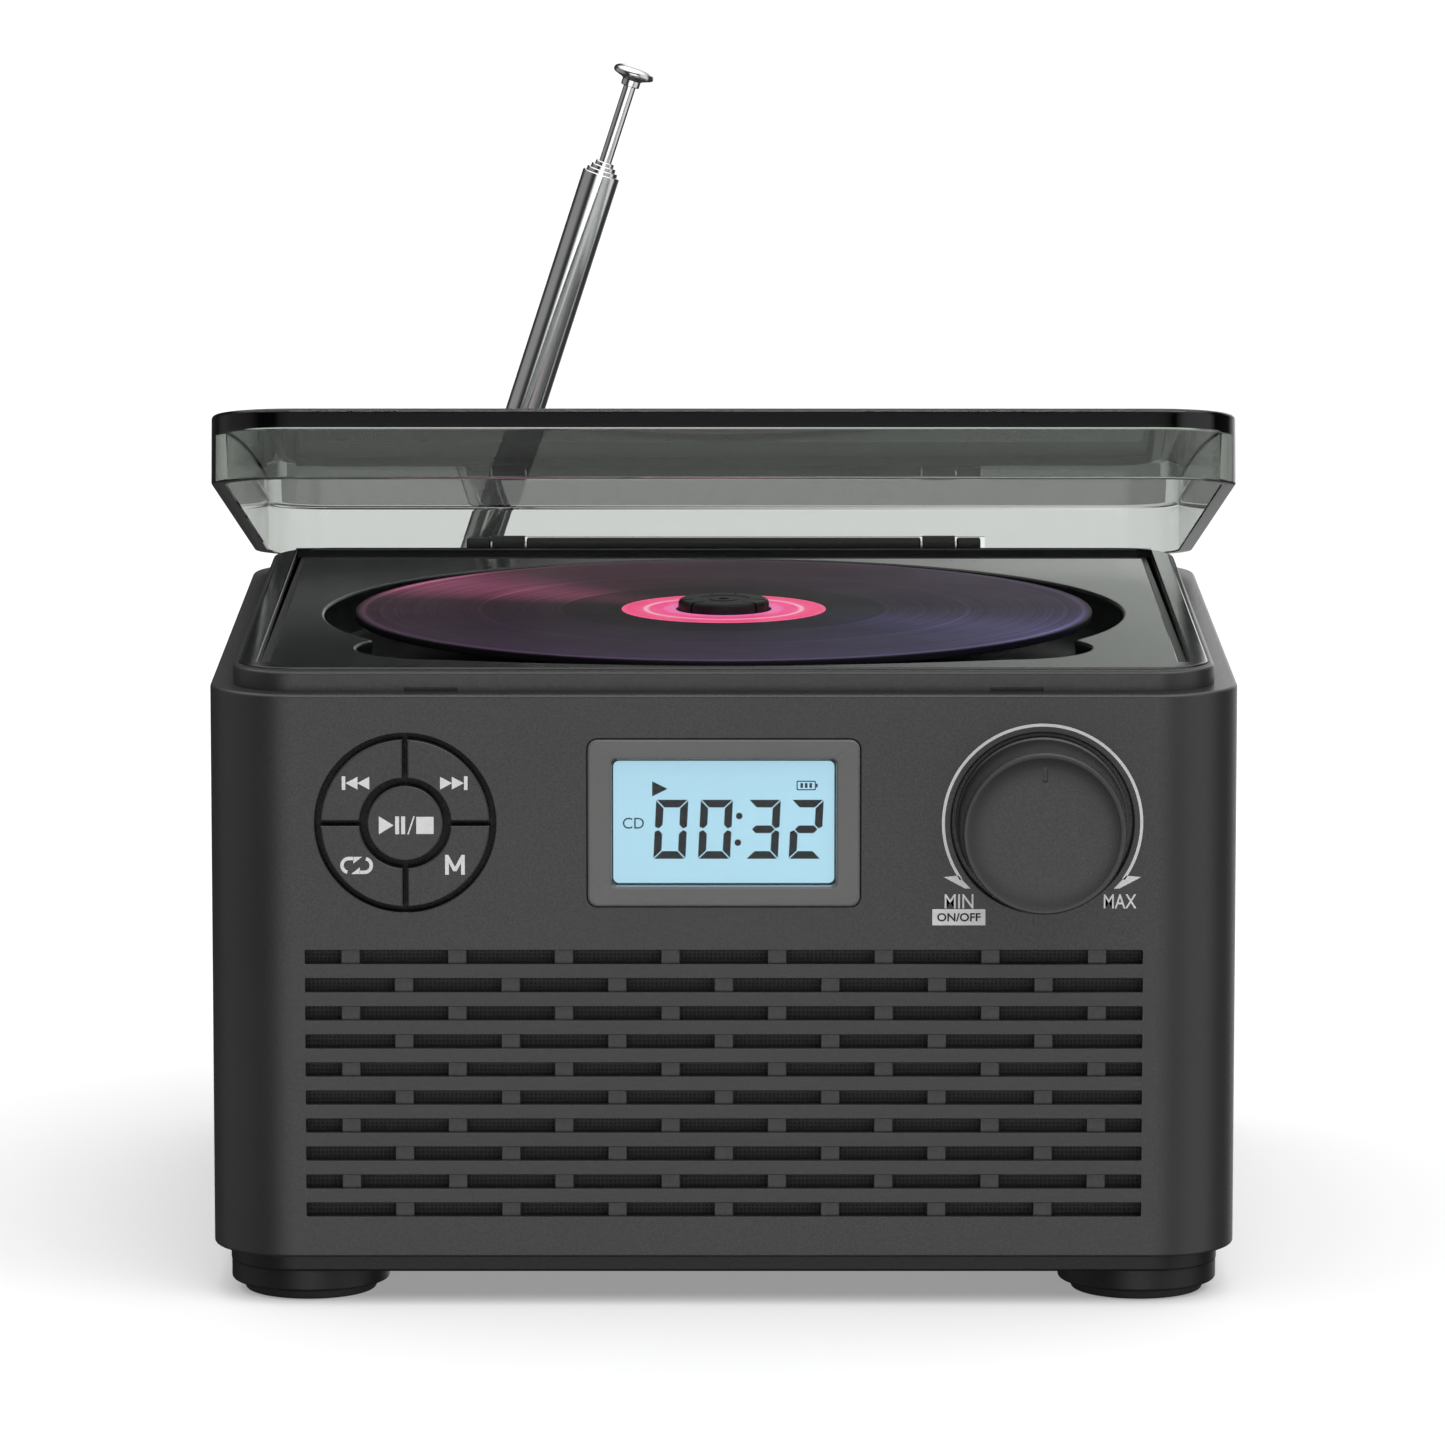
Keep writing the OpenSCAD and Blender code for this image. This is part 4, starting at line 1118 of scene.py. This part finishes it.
def stroke(points, width):
    """The outline of a line of one width, anticlockwise."""
    left, right = [], []
    for i, p in enumerate(points):
        a = Vector(points[max(0, i - 1)])
        b = Vector(points[min(len(points) - 1, i + 1)])
        side = (b - a).normalized().orthogonal() * (width / 2)
        left.append(tuple(Vector(p) + side))
        right.append(tuple(Vector(p) - side))
    return right + left[::-1]


def key_marks():
    """The printed marks on the five keys."""
    y = node_box("button_play")[0].y - 0.03
    place = on_front(y)

    def mark(name, body, shapes):
        bm = bmesh.new()
        for shape in shapes:
            flat(bm, [(KEYS_X + a, CONTROL_Z + b) for a, b in shape], place, 0.04)
        make(name, body, bm, WHITE_INK)

    back = [rounded(0.55, 2.15, 0.05, -9.5, 6.4, 2)]
    back += [[(x, 6.4), (x + 1.87, 5.4), (x + 1.87, 7.4)] for x in (-9.2, -7.37)]
    mark("mark_previous", "previous", back)
    mark("mark_next", "next", [[(-a, b) for a, b in shape][::-1] for shape in back])
    play = [[(-4.05, -1.66), (-1.76, -0.235), (-4.05, 1.19)]]
    play += [rounded(0.62, 2.8, 0.04, x, -0.235, 2) for x in (-1.2, -0.27)]
    play += [[(0.36, -1.66), (0.6, -1.66), (1.56, 1.19), (1.32, 1.19)]]
    play += [rounded(2.7, 2.7, 0.04, 3.12, -0.25, 2)]
    mark("mark_play", "play", play)
    x, z, half, r = -7.54, -6.56, 1.19, 1.09
    bend = stroke(arc(x - half, z, r, 256, 90, 24) + [(x - 0.45, z + r)], 0.54)
    barb = [(x - 0.5, z + 0.3), (x + 0.86, z + r + 0.27), (x - 0.5, z + r + 0.27)]
    loop = [bend, barb]
    loop += [[(2 * x - a, 2 * z - b) for a, b in shape] for shape in loop]
    mark("mark_repeat", "repeat", loop)
    half_m = [(0.26, -1.02), (0.95, 0.3), (0.95, -1.56), (1.53, -1.56), (1.53, 1.56), (1.02, 1.56)]
    letter = half_m + [(0, -0.34)] + [(-a, b) for a, b in reversed(half_m)]
    mark("mark_mode", "mode", [[(a + 7.76, b - 6.46) for a, b in letter]])


def front_print():
    """The level ring round the knob with its arrowheads, MIN, MAX and ON/OFF."""
    y = FRONT - 0.03
    place = on_front(y)
    bm = bmesh.new()
    reach, outer, inner = 125, 15.66, 15.2
    ring = arc(0, 0, outer, 90 - reach, 90 + reach, 120) + arc(0, 0, inner, 90 + reach, 90 - reach, 120)
    barb = [(-15.37, -8.5), (-12.05, -10.3), (-11.15, -10.33), (-13.1, -8.28)]
    mirrored = [(-a, b) for a, b in reversed(barb)]
    badge = rounded(8.27, 2.55, 0.05, -12.97, -14.85, 2)
    for shape in (ring, barb, mirrored, badge):
        flat(bm, [(KNOB.x + a, CONTROL_Z + b) for a, b in shape], place, 0.04)
    make("level_ring", "body", bm, WHITE_INK)
    switch = (KNOB.x - 12.97, CONTROL_Z - 14.85)
    low = (KNOB.x - 12.95, CONTROL_Z - 12.33)
    high = (KNOB.x + 12.14, CONTROL_Z - 12.33)
    words("word_min", "MIN", low, (4.48, 2.24), y, WHITE_INK, 0.004)
    words("word_max", "MAX", high, (5.1, 2.24), y, WHITE_INK, 0.004)
    words("word_on_off", "ON/OFF", switch, (6.74, 1.3), y - 0.05, DARK_INK, 0.014)


# ---------------------------------------------------------------- antenna

def along_mast():
    """The antenna's own space: pivot at the origin, Z along the tubes."""
    lean = math.atan2(MAST_AXIS.x, MAST_AXIS.z)
    return Matrix.Translation(MAST) @ Matrix.Rotation(lean, 4, "Y")


def antenna():
    place = along_mast()
    length, step, lift, thick = 78.2, 0.55, 0.7, 0.475
    names = ("antenna_mast", "antenna_second", "antenna_third", "antenna_fourth")
    for n, body in enumerate(names):
        r = 3.3 - n * step
        start = 5 if n == 0 else 7.5 + 2.5 * n
        top = length + n * lift
        floor = start + (4 if n == 0 else 2)
        bm = bmesh.new()
        profile = [(0, start), (r - 0.15, start), (r, start + 0.15)]
        profile += rim(r - 0.22, top - 0.22, 0.22, 0, 90)
        profile += [(r - thick, top), (r - thick, floor), (0, floor)]
        lathe(bm, profile, Matrix.Identity(4), 64)
        if n == 0:
            foot = arc(0, 0, 3.3, 180, 360, 24) + [(3.3, start + 0.6), (-3.3, start + 0.6)]
            prism(bm, foot, 3.84, across(-1.92), 0.3)
        name = f"tube_{n + 1}"
        make(name, body, bm, CHROME, ["antenna_" + name], place=place)
    tip = length + 15.8
    bm = bmesh.new()
    lathe(bm, [(0, 17.5), (1.1, 17.5), (1.1, tip), (0, tip)], Matrix.Identity(4), 48)
    make("tip_rod", "antenna_tip", bm, CHROME, ["antenna_rod"], place=place)
    bm = bmesh.new()
    collar = [(0, tip), (1.5, tip), (1.65, tip + 0.15), (1.65, tip + 1.1), (1.9, tip + 1.3)]
    dome = [(r, tip + h) for r, h in ((3.2, 1.75), (3.5, 1.95), (3.6, 2.25), (3.6, 2.55), (3.45, 2.85),
                                      (3.0, 3.15), (2.2, 3.4), (1.1, 3.55), (0, 3.6))]
    lathe(bm, collar + dome, Matrix.Identity(4), 64)
    make("tip_cap", "antenna_tip", bm, CHROME, ["antenna_cap"], place=place)


def antenna_foot():
    """The socket on the back and the swivel with its two ears."""
    back = Matrix.Translation((MAST.x, 0, MAST.z)) @ Matrix.Rotation(-math.pi / 2, 4, "X")
    bm = bmesh.new()
    profile = [(2.6, REAR - 3), (4.3, REAR - 3), (4.3, REAR), (8, REAR)]
    profile += rim(7.4, REAR + 1.9, 0.6, 0, 90) + [(2.6, REAR + 2.5)]
    lathe(bm, profile, back, 96, closed=True)
    make("antenna_collar", "body", bm, BLACK, ["antenna_socket"])
    bm = bmesh.new()
    low, high = REAR + 2.6, REAR + 5
    profile = [(0, REAR - 5.5), (2.5, REAR - 5.5), (2.5, low), (6.1, low), (6.4, low + 0.3)]
    profile += rim(5.9, high - 0.5, 0.5, 0, 90) + [(0, high)]
    lathe(bm, profile, back, 96)
    mast = along_mast()
    start = high - MAST.y - 0.4
    ear = [(start, -3.4)] + arc(0, 0, 3.4, -90, 90, 24) + [(start, 3.4)]
    for x in (-3.4, 2.0):
        prism(bm, ear, 1.4, lambda p, d: mast @ Vector((x + d, *p)), 0.25)
    make("antenna_fork", "antenna_swivel", bm, CHROME, ["antenna_swivel"])


# ---------------------------------------------------------------- carried nodes and the studio

def paint_nodes():
    """Materials for the CAD nodes whose shape is right as it stands."""
    paints = {
        STEEL: ["hinge_pin", "antenna_washer", "guide_rods", "volume_nut", "usb_socket", "volume_shaft",
                "spindle_motor", "sled_motor", "volume_pot", "key_switches", "speaker_magnet_left",
                "speaker_magnet_right"],
        ZINC: ["base_screws", "rear_plate_screws"],
        CHROME: ["antenna_pin"],
        BLACK: ["rear_plate", "aux_socket", "headphone_socket", "button_carrier", "cd_chassis"],
        RUBBER: ["damper_bushes"],
        BOARD: ["key_board", "display_board", "main_board"],
        CLOTH: ["grille_cloth"],
        CONE: ["speaker_cone_left", "speaker_cone_right"],
        DARK_STEEL: ["speaker_basket_left", "speaker_basket_right"],
        CAST: ["laser_sled"],
        LENS: ["laser_lens"],
        BRASS: ["lead_screw"],
        WRAP: ["battery"],
    }
    for material, names in paints.items():
        for name in names:
            mesh = frame["nodes"][name].data
            mesh.materials.clear()
            mesh.materials.append(material)


def paper_floor():
    """A wide pale paper floor, kept out of the gloss of the piece that stands on it."""
    bm = bmesh.new()
    bmesh.ops.create_grid(bm, x_segments=1, y_segments=1, size=6)
    mesh = bpy.data.meshes.new("floor")
    bm.to_mesh(mesh)
    bm.free()
    floor = add_object("floor", mesh)
    level = 0.55
    material, tree, bsdf = shader("floor_paper", (level, level, level), 0.8, Specular_IOR_Level=0.0)
    darker, lighter = (level - 0.005,) * 3, (level + 0.005,) * 3
    dress(tree, bsdf, Base_Color=blend(tree, noise(tree, 6), darker, lighter),
          Emission_Color=(1, 1, 1), Emission_Strength=0.3)
    mesh.materials.append(material)
    floor.visible_glossy = False


def grey_card():
    """A card on the floor behind the object, seen only through the smoked lid."""
    mesh = bpy.data.meshes.new("grey_card")
    half, near, far, height = 0.13, 0.32, 0.53, 0.0005
    corners = [(-half, near), (half, near), (half, far), (-half, far)]
    mesh.from_pydata([(x, y, height) for x, y in corners], [], [(0, 1, 2, 3)])
    mesh.materials.append(shader("card_grey", (0.2, 0.2, 0.2), 0.9)[0])
    card = add_object("grey_card", mesh)
    card.visible_camera = False
    card.visible_diffuse = False
    card.visible_glossy = False
    card.visible_shadow = False


def key_light():
    """A very wide, soft light from above, in front and to the right."""
    light = bpy.data.lights.new("key_light", "SUN")
    light.energy = 0.9
    light.angle = math.radians(50)
    lamp = add_object("key_light", light)
    lamp.rotation_euler = Vector((-0.4, 0.7, -1.2)).to_track_quat("-Z", "Y").to_euler()


def soft_patch(tree, split, level, *limits):
    """A soft-edged bright patch of the surround. Each limit is an axis, its start and its full end."""
    strength = level
    for axis, start, full in limits:
        low, high = (0, 1) if full > start else (1, 0)
        rise = spread(tree, split.outputs[axis], low, high, min(start, full), max(start, full))
        strength = calc(tree, "MULTIPLY", rise, strength)
    return strength


def surround():
    """Dim studio surround with soft boxes, and a plain white backdrop for the camera."""
    world = bpy.data.worlds.new("surround")
    bpy.context.scene.world = world
    world.use_nodes = True
    tree = world.node_tree
    where = node(tree, "TexCoord").outputs["Generated"]
    split = node(tree, "SeparateXYZ", Vector=where)
    front = soft_patch(tree, split, 1.95, ("Y", -0.85, -0.96), ("Z", 0.38, 0.0))
    overhead = soft_patch(tree, split, 1.8, ("Z", 0.50, 0.72))
    left = soft_patch(tree, split, 0.28, ("X", -0.75, -0.92))
    right = soft_patch(tree, split, 0.9, ("X", 0.5, 0.7), ("Y", 0.1, -0.1))
    rear_right = soft_patch(tree, split, 1.5, ("X", -0.03, 0.05), ("X", 0.8, 0.3), ("Y", 0.1, 0.4),
                            ("Z", 0.6, 0.35), ("Z", -0.31, -0.15))
    total = 0.05
    for patch in (front, overhead, left, right, rear_right):
        total = calc(tree, "ADD", patch, total)
    sky = tree.nodes["Background"]
    dress(tree, sky, Color=(1, 1, 1), Strength=total)
    plain = node(tree, "Background", Color=(1, 1, 1), Strength=1.05)
    is_camera = node(tree, "LightPath").outputs["Is Camera Ray"]
    mixed_surface(tree, is_camera, sky, plain, "World Output")


def camera():
    """A long lens, level with the picture's middle, looking a little down."""
    data = bpy.data.cameras.new("camera")
    data.sensor_width = 36
    data.lens = 221.85
    data.clip_end = 20
    made = add_object("camera", data)
    made.location = (-0.0002, (FRONT - 1367.5) * MM, (LEDGE + 202.7) * MM)
    made.rotation_euler = (math.radians(90 - 8.61), 0, 0)
    bpy.context.scene.camera = made
    bpy.context.scene.view_settings.view_transform = "Standard"


camera()
paper_floor()
grey_card()
key_light()
surround()
case_shell()
base()
feet()
plinth()
deck()
tray()
hinge_block()
lid_lugs()
lid()
disc()
hub()
keys()
knob()
display()
key_marks()
front_print()
antenna()
antenna_foot()
paint_nodes()
